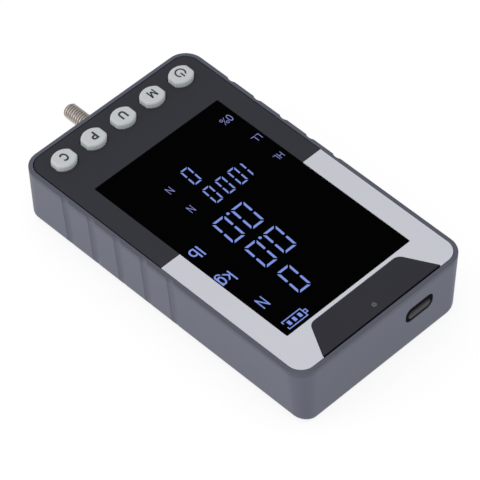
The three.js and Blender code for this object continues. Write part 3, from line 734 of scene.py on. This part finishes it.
print("front panel")
keys = {
    "names": ["power", "m", "u", "p", "c"],
    "halfX": 4.5 * mm, "halfY": 4.2 * mm, "endRadius": 5.4 * mm,
    "edge": 1.0 * mm, "edgeSteps": 6, "flange": 0.8 * mm, "flangeThickness": 0.9 * mm,
}


def keyBlock(name, grow, low, high):
    # a round bar made a barrel: its sides pressed flat and its two bowed ends drawn together
    radius = keys["endRadius"] + grow
    halfX = keys["halfX"] + grow
    chord = (radius ** 2 - halfX ** 2) ** 0.5
    slide = keys["endRadius"] - keys["halfY"]
    flat = (chord - slide) / chord
    piece = startRod(name, radius, (0, 0, low), (0, 0, high), sides=48)
    for side in (-1, 1):
        pickPoints(piece, lambda place: side * place.x > halfX)
        bpy.ops.transform.resize(value=(0, flat, 1), center_override=(side * halfX, 0, 0))
        pickPoints(piece, lambda place: abs(place.x) < halfX - slack and side * place.y > 0)
        bpy.ops.transform.translate(value=(0, -side * slide, 0))
    pickFaces(piece, anywhere)
    bpy.ops.mesh.dissolve_limited(angle_limit=radians(1))
    leaveEditMode()
    return piece


lens = {
    "side": 1.72 * mm, "studEnd": 1.85 * mm, "usbEnd": 1.75 * mm,
    "corner": 0.45 * mm, "soft": 0.12 * mm, "gap": 0.12 * mm,
}


def lensBlock(name, grow, low, high):
    # the lens opening, from the narrow upper step of the lens node
    flangeLow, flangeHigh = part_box("display_window")
    side, studEnd, usbEnd = (lens[end] - grow for end in ("side", "studEnd", "usbEnd"))
    return roundBlock(
        name,
        (flangeLow.x + side, flangeLow.y + studEnd, low),
        (flangeHigh.x - side, flangeHigh.y - usbEnd, high),
        lens["corner"],
        steps=4,
    )


def makeLens():
    low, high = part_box("display_window")
    piece = lensBlock("lens", 0, low.z, high.z)
    bevelEdges(piece, level(high.z), lens["soft"])
    smooth(piece)
    settle(piece, "screen_lens", caseBody, "lens_black", nodes=["display_window"])


panel = {
    "corner": 5.5 * mm, "soft": 0.15 * mm, "keyGap": 0.35 * mm,
    "trimStart": 0.28 * mm, "trimFloor": 25.8 * mm,
}


def makePanel():
    low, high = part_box("front_panel")
    base = high.z - case["mouthDepth"]
    piece = roundBlock("panel", (low.x, low.y, base), (high.x, high.y, high.z), panel["corner"])
    bevelEdges(piece, level(high.z), panel["soft"])
    cutters = [
        lensBlock("lensHole", lens["gap"], base - mm, high.z + mm),
        startBlock(
            "trimRoom",
            (low.x - mm, panel["trimStart"], panel["trimFloor"]),
            (high.x + mm, high.y + mm, high.z + mm),
        ),
    ]
    for name in keys["names"]:
        spot = middleOf("key_" + name)
        hole = keyBlock("keyHole", panel["keyGap"], base - mm, high.z + mm)
        hole.data.transform(Matrix.Translation((spot.x, spot.y, 0)))
        cutters.append(hole)
    carve(piece, cutters)
    smooth(piece)
    settle(piece, "panel_face", caseBody, "panel_dark", nodes=["front_panel"])


badge = {
    "slant": 7.15 * mm, "corner": 1.9 * mm, "soft": 0.12 * mm,
    "reach": 1.35 * mm, "back": 0.25 * mm, "gap": 0.12 * mm, "pipeHole": 1.1 * mm,
}


def badgeFrame():
    # the badge reaches further to one side than to the other
    low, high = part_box("badge_plate")
    return low + Vector((-badge["reach"], badge["back"], 0)), high


def badgeBlock(name, grow, low, high):
    # a tapered plate, wide towards the socket end
    first, last = badgeFrame()
    piece = startBlock(name, (first.x - grow, first.y - grow, low), (last.x + grow, last.y + grow, high))
    pickFaces(piece, facing(0, -1, 0))
    narrow = 1 - 2 * badge["slant"] / (last.x - first.x)
    bpy.ops.transform.resize(value=(narrow, 1, 1), center_override=(first + last) / 2)
    leaveEditMode()
    narrowEnd = first.y - grow
    bevelEdges(piece, lambda a, b: near(a.y, narrowEnd) and along(2)(a, b), badge["corner"], steps=8)
    return piece


def makeBadge():
    low, high = badgeFrame()
    piece = badgeBlock("badge", 0, low.z, high.z)
    spot = middleOf("light_pipe")
    start, end = (spot.x, spot.y, low.z - mm), (spot.x, spot.y, high.z + mm)
    carve(piece, [startRod("pipeHole", badge["pipeHole"], start, end)])
    softenEdges(piece, badge["soft"])
    smooth(piece)
    settle(piece, "badge_face", caseBody, "badge_dark", nodes=["badge_plate"])


trim = {"corner": 5.73 * mm, "soft": 0.1 * mm, "badgeOverlap": 0.2 * mm}


def makeTrim():
    # a rounded block as long again towards the stud, cut off at the trim's start
    low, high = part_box("silver_bezel")
    piece = roundBlock("trim", (low.x, -high.y, low.z), (high.x, high.y, high.z), trim["corner"])
    first, last = badgeFrame()
    carve(piece, [
        startBlock("studHalf", (low.x - mm, -high.y - mm, low.z - mm), (high.x + mm, low.y, high.z + mm)),
        lensBlock("lensRoom", lens["gap"], low.z - mm, high.z + mm),
        badgeBlock("badgeRoom", badge["gap"], low.z - mm, high.z + mm),
        startBlock(
            "badgeEnd",
            (first.x, last.y - trim["badgeOverlap"], low.z - mm),
            (last.x, high.y + mm, high.z + mm),
        ),
    ])
    softenEdges(piece, trim["soft"])
    smooth(piece)
    settle(piece, "silver_trim", caseBody, "trim_silver", nodes=["silver_bezel"])


pipe = {"radius": 1.06 * mm, "dome": 0.12 * mm, "domeShares": [0.44, 0.3, 0.18, 0.07]}


def makeLightPipe():
    low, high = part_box("light_pipe")
    spot = (low + high) / 2
    start, end = (spot.x, spot.y, low.z), (spot.x, spot.y, high.z - pipe["dome"])
    piece = startRod("pipe", pipe["radius"], start, end)
    pickFaces(piece, facing(0, 0, 1))
    for share in pipe["domeShares"]:
        bpy.ops.mesh.inset(thickness=pipe["radius"] / (len(pipe["domeShares"]) + 1))
        bpy.ops.transform.translate(value=(0, 0, pipe["dome"] * share))
    smooth(piece, angle=60, weighted=False)
    settle(piece, "indicator_dot", caseBody, "pipe_clear", nodes=["light_pipe"])


makePanel()
makeTrim()
makeBadge()
makeLightPipe()
makeLens()


# Keys with their legends

print("keys")
legends = {
    "rise": 0.03 * mm, "depth": 0.1 * mm, "sink": 0.001 * mm, "stroke": 0.6 * mm,
    "ringRadius": 2.1 * mm, "ringShift": 0.08 * mm, "ringDrop": 0.4 * mm,
    "gapHalf": 1.0 * mm, "gapStart": 0.2 * mm, "barStart": 0.1 * mm, "barTop": 2.3 * mm,
    # width and height, place to the right and up, and extra weight
    "letters": {
        "m": (2.95, 3.5, -0.22, -0.18, 0),
        "u": (2.85, 3.6, 0.02, -0.08, 0.034),
        "p": (2.5, 3.6, 0.0, -0.02, 0.03),
        "c": (2.5, 3.75, -0.28, 0.0, 0.036),
    },
    "letterStroke": 0.56 * mm, "slantDrop": 2.85 * mm, "slantShare": 0.55,
}


def textOutline(text, left, right, bottom, top, low, high, weight=0):
    # written text made a thin mesh that fills the given rectangle
    bpy.ops.object.text_add(location=(0, 0, 0))
    writing = bpy.context.object
    writing.data.body = text
    writing.data.extrude = 0.5        # one unit thick in all
    writing.data.offset = weight
    writing.data.resolution_u = 6
    selectOnly(writing)
    bpy.ops.object.convert(target="MESH")
    piece = bpy.context.object
    xs = [point.co.x for point in piece.data.vertices]
    ys = [point.co.y for point in piece.data.vertices]
    wide = (right - left) / (max(xs) - min(xs))
    tall = (top - bottom) / (max(ys) - min(ys))
    piece.data.transform(
        Matrix.Translation((left, bottom, (low + high) / 2))
        @ Matrix.Diagonal((wide, tall, high - low, 1))
        @ Matrix.Translation((-min(xs), -min(ys), 0))
    )
    return piece


def powerMark(spot, low, high):
    # a ring with a gap at its top and a bar through the gap
    x, y = spot.x - legends["ringShift"], spot.y - legends["ringDrop"]
    outer, stroke = legends["ringRadius"], legends["stroke"]
    ring = startRod("ring", outer, (x, y, low), (x, y, high), sides=48)
    carve(ring, [
        startRod("ringHole", outer - stroke, (x, y, low - mm), (x, y, high + mm), sides=48),
        startBlock(
            "ringGap",
            (x - legends["gapHalf"], y + legends["gapStart"], low - mm),
            (x + legends["gapHalf"], y + outer + mm, high + mm),
        ),
    ])
    bar = startBlock(
        "bar",
        (x - stroke / 2, y + legends["barStart"], low),
        (x + stroke / 2, y + legends["barTop"], high),
    )
    return joinAll([ring, bar])


def barredM(left, right, bottom, top, low, high):
    # two upright bars and two slanted ones that meet between them
    stroke, drop = legends["letterStroke"], legends["slantDrop"]
    half = stroke * legends["slantShare"]
    bars = [
        startBlock("upright", (x, bottom, low), (x + stroke, top, high))
        for x in (left, right - stroke)
    ]
    reach = (right - left - stroke) / 2
    for side in (-1, 1):
        slant = startBlock("slant", (-half, -drop, low), (half, 0, high))
        lean = Matrix.Identity(4)
        lean[0][1] = side * reach / drop
        slant.data.transform(Matrix.Translation(((left + right) / 2 + side * reach, top, 0)) @ lean)
        bars.append(slant)
    return joinAll(bars)


def keyMark(name, spot, low, high):
    if name == "power":
        return powerMark(spot, low, high)
    wide, tall, right, up, weight = legends["letters"][name]
    left = spot.x + (right - wide / 2) * mm
    bottom = spot.y + (up - tall / 2) * mm
    place = (left, left + wide * mm, bottom, bottom + tall * mm)
    if name == "m":
        return barredM(*place, low, high)
    return textOutline(name.upper(), *place, low, high, weight)


def keyMaster(low, high):
    # a cap with rounded top edges, on a wider flange
    flangeTop = low + keys["flangeThickness"]
    piece = keyBlock("keyMaster", 0, flangeTop, high)
    bevelEdges(piece, level(high), keys["edge"], keys["edgeSteps"])
    pickFaces(piece, facing(0, 0, -1))
    bpy.ops.mesh.extrude_region_move(TRANSFORM_OT_translate={"value": (0, 0, 0)})
    wider = 1 + keys["flange"] / keys["halfX"]
    bpy.ops.transform.resize(value=(wider, wider, 1), center_override=(0, 0, 0))
    bpy.ops.mesh.extrude_region_move(TRANSFORM_OT_translate={"value": (0, 0, low - flangeTop)})
    smooth(piece, angle=45)
    return piece


def makeKeys():
    low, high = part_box("key_c")
    master = keyMaster(low.z, high.z - legends["rise"])
    for name in keys["names"]:
        spot = middleOf("key_" + name)
        body = name + "_button"
        cap = copyOf(master, "cap_" + name, (spot.x, spot.y, 0))
        settle(cap, "cap_" + name, body, "key_plastic", nodes=["key_" + name])
        mark = keyMark(name, spot, high.z - legends["depth"], high.z - legends["sink"])
        settle(mark, "legend_" + name, body, "black_plastic", finish=legendFinish)
    discard(master)


makeKeys()


# Figures on the screen, each made of slanted bars

print("screen figures")
screen = {"sink": 0.01 * mm, "thickness": 0.03 * mm}
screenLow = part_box("display_window")[1].z - screen["sink"]
screenHigh = screenLow + screen["thickness"]


def flatBlock(name, left, bottom, right, top, past=0):
    return startBlock(
        name,
        (left * mm, bottom * mm, screenLow - past),
        (right * mm, top * mm, screenHigh + past),
    )


def flatOval(name, x, y, wide, tall, past=0):
    # a round disc made an oval of the given half sizes
    piece = startRod(name, 1, (0, 0, screenLow - past), (0, 0, screenHigh + past), sides=40)
    size = Matrix.Diagonal((wide * mm, tall * mm, 1, 1))
    piece.data.transform(Matrix.Translation((x * mm, y * mm, 0)) @ size)
    return piece


# in millimetres, with the slant in degrees, and shares of the stroke
figures = {
    "slant": 4.0, "stroke": 0.87, "smallStroke": 0.62,
    "cornerShare": 0.58, "middleShare": 0.63, "tipShare": 0.38,
    "bars": {"0": "abcdef", "1": "bc"},
    # left, bottom, right and top of each
    "digits": [
        ("0", 6.7, 29.15, 13.5, 40.7, "stroke"),
        ("0", -2.4, 13.65, 4.5, 25.1, "stroke"),
        ("0", 6.7, 13.65, 13.4, 25.1, "stroke"),
        ("0", -2.4, -1.65, 4.5, 9.8, "stroke"),
        ("0", 6.7, -1.65, 13.4, 9.8, "stroke"),
        ("1", -17.4, -14.9, -13.2, -7.05, "smallStroke"),
        ("0", -11.35, -14.95, -7.25, -7.05, "smallStroke"),
        ("0", -5.4, -14.95, -1.3, -7.05, "smallStroke"),
        ("0", 0.6, -14.95, 4.7, -7.05, "smallStroke"),
        ("0", -0.2, -26.2, 4.1, -18.2, "smallStroke"),
    ],
    "dots": [(5.2, 14.2), (5.2, -1.1)], "dotRadius": 0.58,
}


def barPiece(left, bottom, right, top, inward, mitres):
    # one bar whose inner side is shorter, by its stroke at each end that meets a corner of the digit
    piece = startBlock("bar", (left, bottom, 0), (right, top, 1))
    flat = inward[1] != 0
    length, stroke = right - left, top - bottom
    if not flat:
        length, stroke = stroke, length
    startCut, stopCut = (stroke * mitre for mitre in mitres)
    share = (length - startCut - stopCut) / length
    slide = (startCut - stopCut) / 2
    centre = Vector((left + right, bottom + top, 0)) / 2
    pickFaces(piece, facing(*inward, 0))
    bpy.ops.transform.resize(value=(share, 1, 1) if flat else (1, share, 1), center_override=centre)
    bpy.ops.transform.translate(value=(slide, 0, 0) if flat else (0, slide, 0))
    leaveEditMode()
    return piece


def digitBars(shown, left, bottom, right, top, stroke):
    # the bars of one digit, made in millimetres upright and then leant as the display's are
    lean = tan(radians(figures["slant"]))
    high = top - bottom
    wide = right - left - high * lean
    gap, split = figures["cornerShare"] * stroke, figures["middleShare"] * stroke
    half = high / 2
    both, first, last = (1, 1), (1, 0), (0, 1)
    shapes = {
        "a": (gap, high - stroke, wide - gap, high, (0, -1), both),
        "d": (gap, 0, wide - gap, stroke, (0, 1), both),
        "b": (wide - stroke, half + split, wide, high - gap, (-1, 0), last),
        "c": (wide - stroke, gap, wide, half - split, (-1, 0), first),
        "e": (0, gap, stroke, half - split, (1, 0), first),
        "f": (0, half + split, stroke, high - gap, (1, 0), last),
    }
    piece = joinAll([barPiece(*shapes[bar]) for bar in figures["bars"][shown]])
    tip = figures["tipShare"] * stroke
    bevelEdges(piece, lambda a, b: along(2)(a, b) and near(abs(a.y - half), split), tip)
    leant = Matrix(((1, lean, 0, left), (0, 1, 0, bottom), (0, 0, 1, 0), (0, 0, 0, 1)))
    size = Matrix.Diagonal((mm, mm, screenHigh - screenLow, 1))
    piece.data.transform(Matrix.Translation((0, 0, screenLow)) @ size @ leant)
    return piece


def makeFigures():
    radius = figures["dotRadius"]
    bars = [digitBars(*digit, figures[stroke]) for *digit, stroke in figures["digits"]]
    dots = [flatOval("dot", *place, radius, radius) for place in figures["dots"]]
    settle(joinAll(bars + dots), "screen_digits", caseBody, "display_figures")


# left, bottom, right and top of each in millimetres, and shares of the hooked letter's height
words = {
    "units": [
        ("N", 23.4, 32.35, 26.35, 37.3),
        ("k", 23.15, 16.8, 26.1, 21.9),
        ("lb", 23.0, 1.45, 27.4, 6.6),
    ],
    "hooked": (26.3, 15.4, 28.95, 20.65), "hookedStroke": 0.62,
    "bowlShare": 0.38, "hookShare": 0.21, "hookThin": 0.8,
    "marks": [
        ("HL", -27.5, -8.8, -24.05, -6.2),
        ("N", 11.6, -13.15, 13.5, -9.75),
        ("LL", -28.2, -20.15, -24.8, -17.5),
        ("N", 10.75, -24.15, 12.75, -20.95),
        ("0%", -27.4, -33.8, -22.75, -30.55),
    ],
    "markWeight": -0.012,
}


def hookedLetter(left, bottom, right, top):
    # an oval with a straight side that ends in a hook
    stroke = words["hookedStroke"]
    x, wide = (left + right) / 2, (right - left) / 2
    tall, bend = (top - bottom) * words["bowlShare"], (top - bottom) * words["hookShare"]
    bowlY, hookY = top - tall, bottom + bend
    bowl = flatOval("bowl", x, bowlY, wide, tall)
    carve(bowl, [flatOval("bowlHole", x, bowlY, wide - stroke, tall - stroke, past=mm)])
    hook = flatOval("hook", x, hookY, wide, bend)
    carve(hook, [
        flatOval("hookHole", x, hookY, wide - stroke, bend - stroke * words["hookThin"], past=mm),
        flatBlock("upperHalf", left, hookY, right, top, past=mm),
    ])
    return joinAll([bowl, hook, flatBlock("side", right - stroke, hookY, right, top)])


def written(lines, weight=0):
    return [
        textOutline(text, left * mm, right * mm, bottom * mm, top * mm, screenLow, screenHigh, weight)
        for text, left, bottom, right, top in lines
    ]


def makeWords():
    units = written(words["units"]) + [hookedLetter(*words["hooked"])]
    settle(joinAll(units), "screen_units", caseBody, "display_figures")
    marks = joinAll(written(words["marks"], words["markWeight"]))
    settle(marks, "screen_marks", caseBody, "display_figures", finish=dimFinish)


battery = {
    "outline": (17.9, 45.25, 26.8, 49.4), "nub": (16.65, 46.55, 18.3, 48.2),
    "line": 0.4, "inset": 1.15, "jawShare": 0.28,
    "bars": [(19.25, 20.5), (21.75, 23.0), (24.15, 25.4)],
}


def makeBatteryMark():
    # an outline with an open end, its nub and its charge bars
    left, bottom, right, top = battery["outline"]
    nubLeft, nubBottom, nubRight, nubTop = battery["nub"]
    line, inset = battery["line"], battery["inset"]
    jaw = (top - bottom) * battery["jawShare"]
    places = [
        (left, bottom, right, bottom + line),
        (left, top - line, right, top),
        (left, bottom, left + line, top),
        (right - line, bottom, right, bottom + jaw),
        (right - line, top - jaw, right, top),
        (nubLeft, nubBottom, nubLeft + line, nubTop),
        (nubLeft, nubBottom, nubRight, nubBottom + line),
        (nubLeft, nubTop - line, nubRight, nubTop),
    ]
    places += [(start, bottom + inset, stop, top - inset) for start, stop in battery["bars"]]
    lines = [flatBlock("line", *place) for place in places]
    settle(joinAll(lines), "battery_mark", caseBody, "display_figures")


makeFigures()
makeWords()
makeBatteryMark()


# Load stud with its thread

print("stud")
stud = {
    "pitch": 1.0 * mm, "depth": 0.58 * mm, "crest": 0.13 * mm, "rootFlat": 0.12 * mm,
    "chamfer": 1.0 * mm, "turnSteps": 32, "spareTurns": 3,
}


def threadBlank(radius, length):
    # one tooth of the thread wound up the Z axis, with both ends closed
    bpy.ops.mesh.primitive_plane_add(size=stud["pitch"], location=(radius - stud["depth"], 0, 0))
    piece = applyPlace(bpy.context.object)
    pickPoints(piece, anywhere)
    bpy.ops.mesh.merge(type="CENTER")
    flank = (stud["pitch"] - 2 * stud["rootFlat"] - stud["crest"]) / 2
    profile = [
        (0, stud["rootFlat"]), (stud["depth"], flank), (0, stud["crest"]),
        (-stud["depth"], flank), (0, stud["rootFlat"]),
    ]
    for outward, upward in profile:
        bpy.ops.mesh.extrude_region_move(TRANSFORM_OT_translate={"value": (outward, 0, upward)})
    applyModifier(
        piece,
        "SCREW",
        axis="Z",
        angle=2 * pi,
        screw_offset=stud["pitch"],
        iterations=int(length / stud["pitch"]) + stud["spareTurns"],
        steps=stud["turnSteps"],
        render_steps=stud["turnSteps"],
        use_merge_vertices=True,
        merge_threshold=weld / 2,
    )
    pickFaces(piece, anywhere)
    bpy.ops.mesh.remove_doubles(threshold=weld)
    bpy.ops.mesh.select_all(action="DESELECT")
    bpy.ops.mesh.select_mode(type="EDGE")
    bpy.ops.mesh.select_non_manifold()
    bpy.ops.mesh.edge_face_add()
    cleanNormals(piece)
    return piece


def makeStud():
    low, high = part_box("stud")
    radius = (high.x - low.x) / 2
    height = (low.z + high.z) / 2
    piece = threadBlank(radius, high.y - low.y)
    start = Matrix.Translation((0, low.y - stud["pitch"], height))
    piece.data.transform(start @ Matrix.Rotation(radians(-90), 4, "X"))
    envelope = startRod("envelope", radius, (0, low.y, height), (0, high.y, height), sides=64)
    bevelEdges(envelope, lambda first, last: near(first.y, last.y), stud["chamfer"], steps=1)
    carve(piece, [envelope], operation="INTERSECT")
    smooth(piece, angle=30, weighted=False)
    settle(piece, "stud_thread", "load_shaft", "stud_steel", nodes=["stud"])


makeStud()


# Socket surround, dust cover, bush and the fasteners in the back

print("small parts")
surround = {"roundness": 0.84, "slip": 0.15 * mm, "soft": 0.18 * mm}
cover = {
    "left": 0.2 * mm, "drop": 0.45 * mm, "taller": 0.1 * mm, "proud": 0.15 * mm,
    "lip": 0.25 * mm, "soft": 0.12 * mm,
    "dishStep": 0.33 * mm, "dishDepth": 0.25 * mm, "dishShares": [0.5, 0.3, 0.15, 0.05],
}


def pillBlock(name, centre, width, tall, back, face):
    # a block along Y whose ends are nearly half round
    return slotBlock(name, centre, width, tall, back, face, tall / 2 * surround["roundness"])


def coverFrame():
    # the cover's middle, width and height: it sits a little low in its ring
    low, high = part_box("usb_cover")
    centre = (low + high) / 2 - Vector((cover["left"], 0, cover["drop"]))
    return centre, high.x - low.x, high.z - low.z + cover["taller"]


def makeSocketRing():
    low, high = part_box("usb_liner")
    centre, width, tall = coverFrame()
    piece = pillBlock("ring", (low + high) / 2, high.x - low.x, high.z - low.z, low.y, high.y)
    gap = 2 * surround["slip"]
    carve(piece, [pillBlock("ringHole", centre, width + gap, tall + gap, low.y - mm, high.y + mm)])
    softenEdges(piece, surround["soft"], steps=3)
    smooth(piece)
    settle(piece, "socket_ring", caseBody, "black_plastic", nodes=["usb_liner"])


def makeDustCover():
    low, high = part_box("usb_cover")
    piece = pillBlock("cover", *coverFrame(), low.y, high.y + cover["proud"])
    pickFaces(piece, facing(0, 1, 0))
    bpy.ops.mesh.inset(thickness=cover["lip"])
    for share in cover["dishShares"]:
        bpy.ops.mesh.inset(thickness=cover["dishStep"])
        bpy.ops.transform.translate(value=(0, -cover["dishDepth"] * share, 0))
    softenEdges(piece, cover["soft"], angle=30)
    smooth(piece)
    settle(piece, "dust_cover_face", "dust_cover", "cover_rubber", nodes=["usb_cover"])


bush = {"radius": 4.95 * mm, "bore": 3.35 * mm, "soft": 0.25 * mm}


def makeBush():
    low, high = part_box("stud_bush")
    height = (low.z + high.z) / 2
    piece = startRod("bush", bush["radius"], (0, low.y, height), (0, high.y, height), sides=64)
    start, end = (0, low.y - mm, height), (0, high.y + mm, height)
    carve(piece, [startRod("bore", bush["bore"], start, end, sides=64)])
    softenEdges(piece, bush["soft"], steps=3)
    smooth(piece)
    settle(piece, "guide_bush", caseBody, "black_plastic", nodes=["stud_bush"])


screws = {
    "radius": 2.7 * mm, "headTop": 2.0 * mm, "edge": 0.5 * mm, "soft": 0.06 * mm,
    "socketRadius": 1.2 * mm, "socketDepth": 1.2 * mm,
    "shoulder": 1.2 * mm, "shank": 4 * mm,
}


def makeScrewHeads():
    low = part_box("case_screw_1")[0]
    top, deep = screws["headTop"], screws["socketDepth"]
    master = startRod("screwMaster", screws["radius"], (0, 0, low.z), (0, 0, top), sides=40)
    bevelEdges(master, level(low.z), screws["edge"], steps=4)
    start, end = (0, 0, low.z - deep), (0, 0, low.z + deep)
    carve(master, [startRod("hexSocket", screws["socketRadius"], start, end, sides=6)])
    pickFaces(master, lambda middle, normal: normal.z > 0.9 and near(middle.z, top))
    bpy.ops.mesh.inset(thickness=screws["shoulder"])
    bpy.ops.mesh.extrude_region_move(TRANSFORM_OT_translate={"value": (0, 0, screws["shank"])})
    softenEdges(master, screws["soft"])
    smooth(master)
    for name in nodesNamed("case_screw", "bracket_screw"):
        place = middleOf(name)
        piece = copyOf(master, "head_" + name, (place.x, place.y, 0))
        settle(piece, "head_" + name, caseBody, "black_steel", nodes=[name])
    discard(master)


inserts = {"radius": 2.1 * mm, "bore": 1.25 * mm, "soft": 0.2 * mm}


def makeInserts():
    low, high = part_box("stand_insert_1")
    master = startRod("insertMaster", inserts["radius"], (0, 0, low.z), (0, 0, high.z), sides=40)
    start, end = (0, 0, low.z - mm), (0, 0, high.z + mm)
    carve(master, [startRod("bore", inserts["bore"], start, end, sides=40)])
    softenEdges(master, inserts["soft"])
    smooth(master)
    for name in nodesNamed("stand_insert"):
        place = middleOf(name)
        piece = copyOf(master, "brass_" + name, (place.x, place.y, 0))
        settle(piece, "brass_" + name, caseBody, "insert_brass", nodes=[name])
    discard(master)


makeSocketRing()
makeDustCover()
makeBush()
makeScrewHeads()
makeInserts()


# Floor, lights and camera

print("stage")
studio = {
    "floorSize": 6.0, "floorDrop": 0.02 * mm, "floorTone": grey(0.18), "floorGlow": 0.84,
    "worldTone": grey(1.0), "worldStrength": 0.68,
    # each with its place, what it looks at, its size in metres, its power in watts and its colour
    "lights": [
        ("overhead", (0.2, 0.1, 1.6), (0, 0, 0), 1.4, 8, (1, 1, 1)),
        ("longSide", (0.6, -0.35, 0.28), (0, -0.02, 0), 0.5, 1.25, (1, 0.985, 0.94)),
    ],
}


def makeStage():
    bpy.ops.mesh.primitive_plane_add(size=studio["floorSize"], location=(0, 0, -studio["floorDrop"]))
    floor = bpy.context.object
    floor.name = "floor"
    finish = Finish("paleFloor", Roughness=0.8, Specular_IOR_Level=0.1, Emission_Strength=studio["floorGlow"])
    finish.set(
        Base_Color=finish.mottled(studio["floorTone"], 0.995, 1, scale=0.02),
        Emission_Color=grey(1.0),
    )
    floor.data.materials.append(finish.material)
    world = bpy.data.worlds.new("studio")
    scene.world = world
    world.use_nodes = True
    background = world.node_tree.nodes["Background"]
    background.inputs["Color"].default_value = studio["worldTone"]
    background.inputs["Strength"].default_value = studio["worldStrength"]


def addLight(name, place, aim, size, power, tone):
    bpy.ops.object.light_add(type="AREA", location=place)
    light = bpy.context.object
    light.name = name
    light.data.shape = "SQUARE"
    light.data.size = size
    light.data.energy = power
    light.data.color = tone
    way = Vector(place) - Vector(aim)
    light.rotation_euler = way.to_track_quat("Z", "Y").to_euler()


# the directions are the photograph's own, lengths are in metres, and lens and sensor in millimetres
view = {
    "right": Vector((-0.70711, 0.70711, 0)), "up": Vector((-0.532, -0.532, 0.6586)),
    "toCamera": Vector((0.4657, 0.4657, 0.7524)),
    "shiftRight": -0.385 * mm, "shiftUp": 6.65 * mm,
    "distance": 1.29, "lens": 281.25, "sensor": 36, "clipEnd": 20,
}


def makeCamera():
    data = bpy.data.cameras.new("camera")
    camera = bpy.data.objects.new("camera", data)
    scene.collection.objects.link(camera)
    data.lens = view["lens"]
    data.sensor_width = view["sensor"]
    data.clip_end = view["clipEnd"]
    target = view["right"] * view["shiftRight"] + view["up"] * view["shiftUp"]
    camera.location = target + view["toCamera"] * view["distance"]
    camera.rotation_euler = view["toCamera"].to_track_quat("Z", "Y").to_euler()
    scene.camera = camera


makeStage()
for light in studio["lights"]:
    addLight(*light)
makeCamera()
scene.view_settings.view_transform = "Standard"

leaveEditMode()
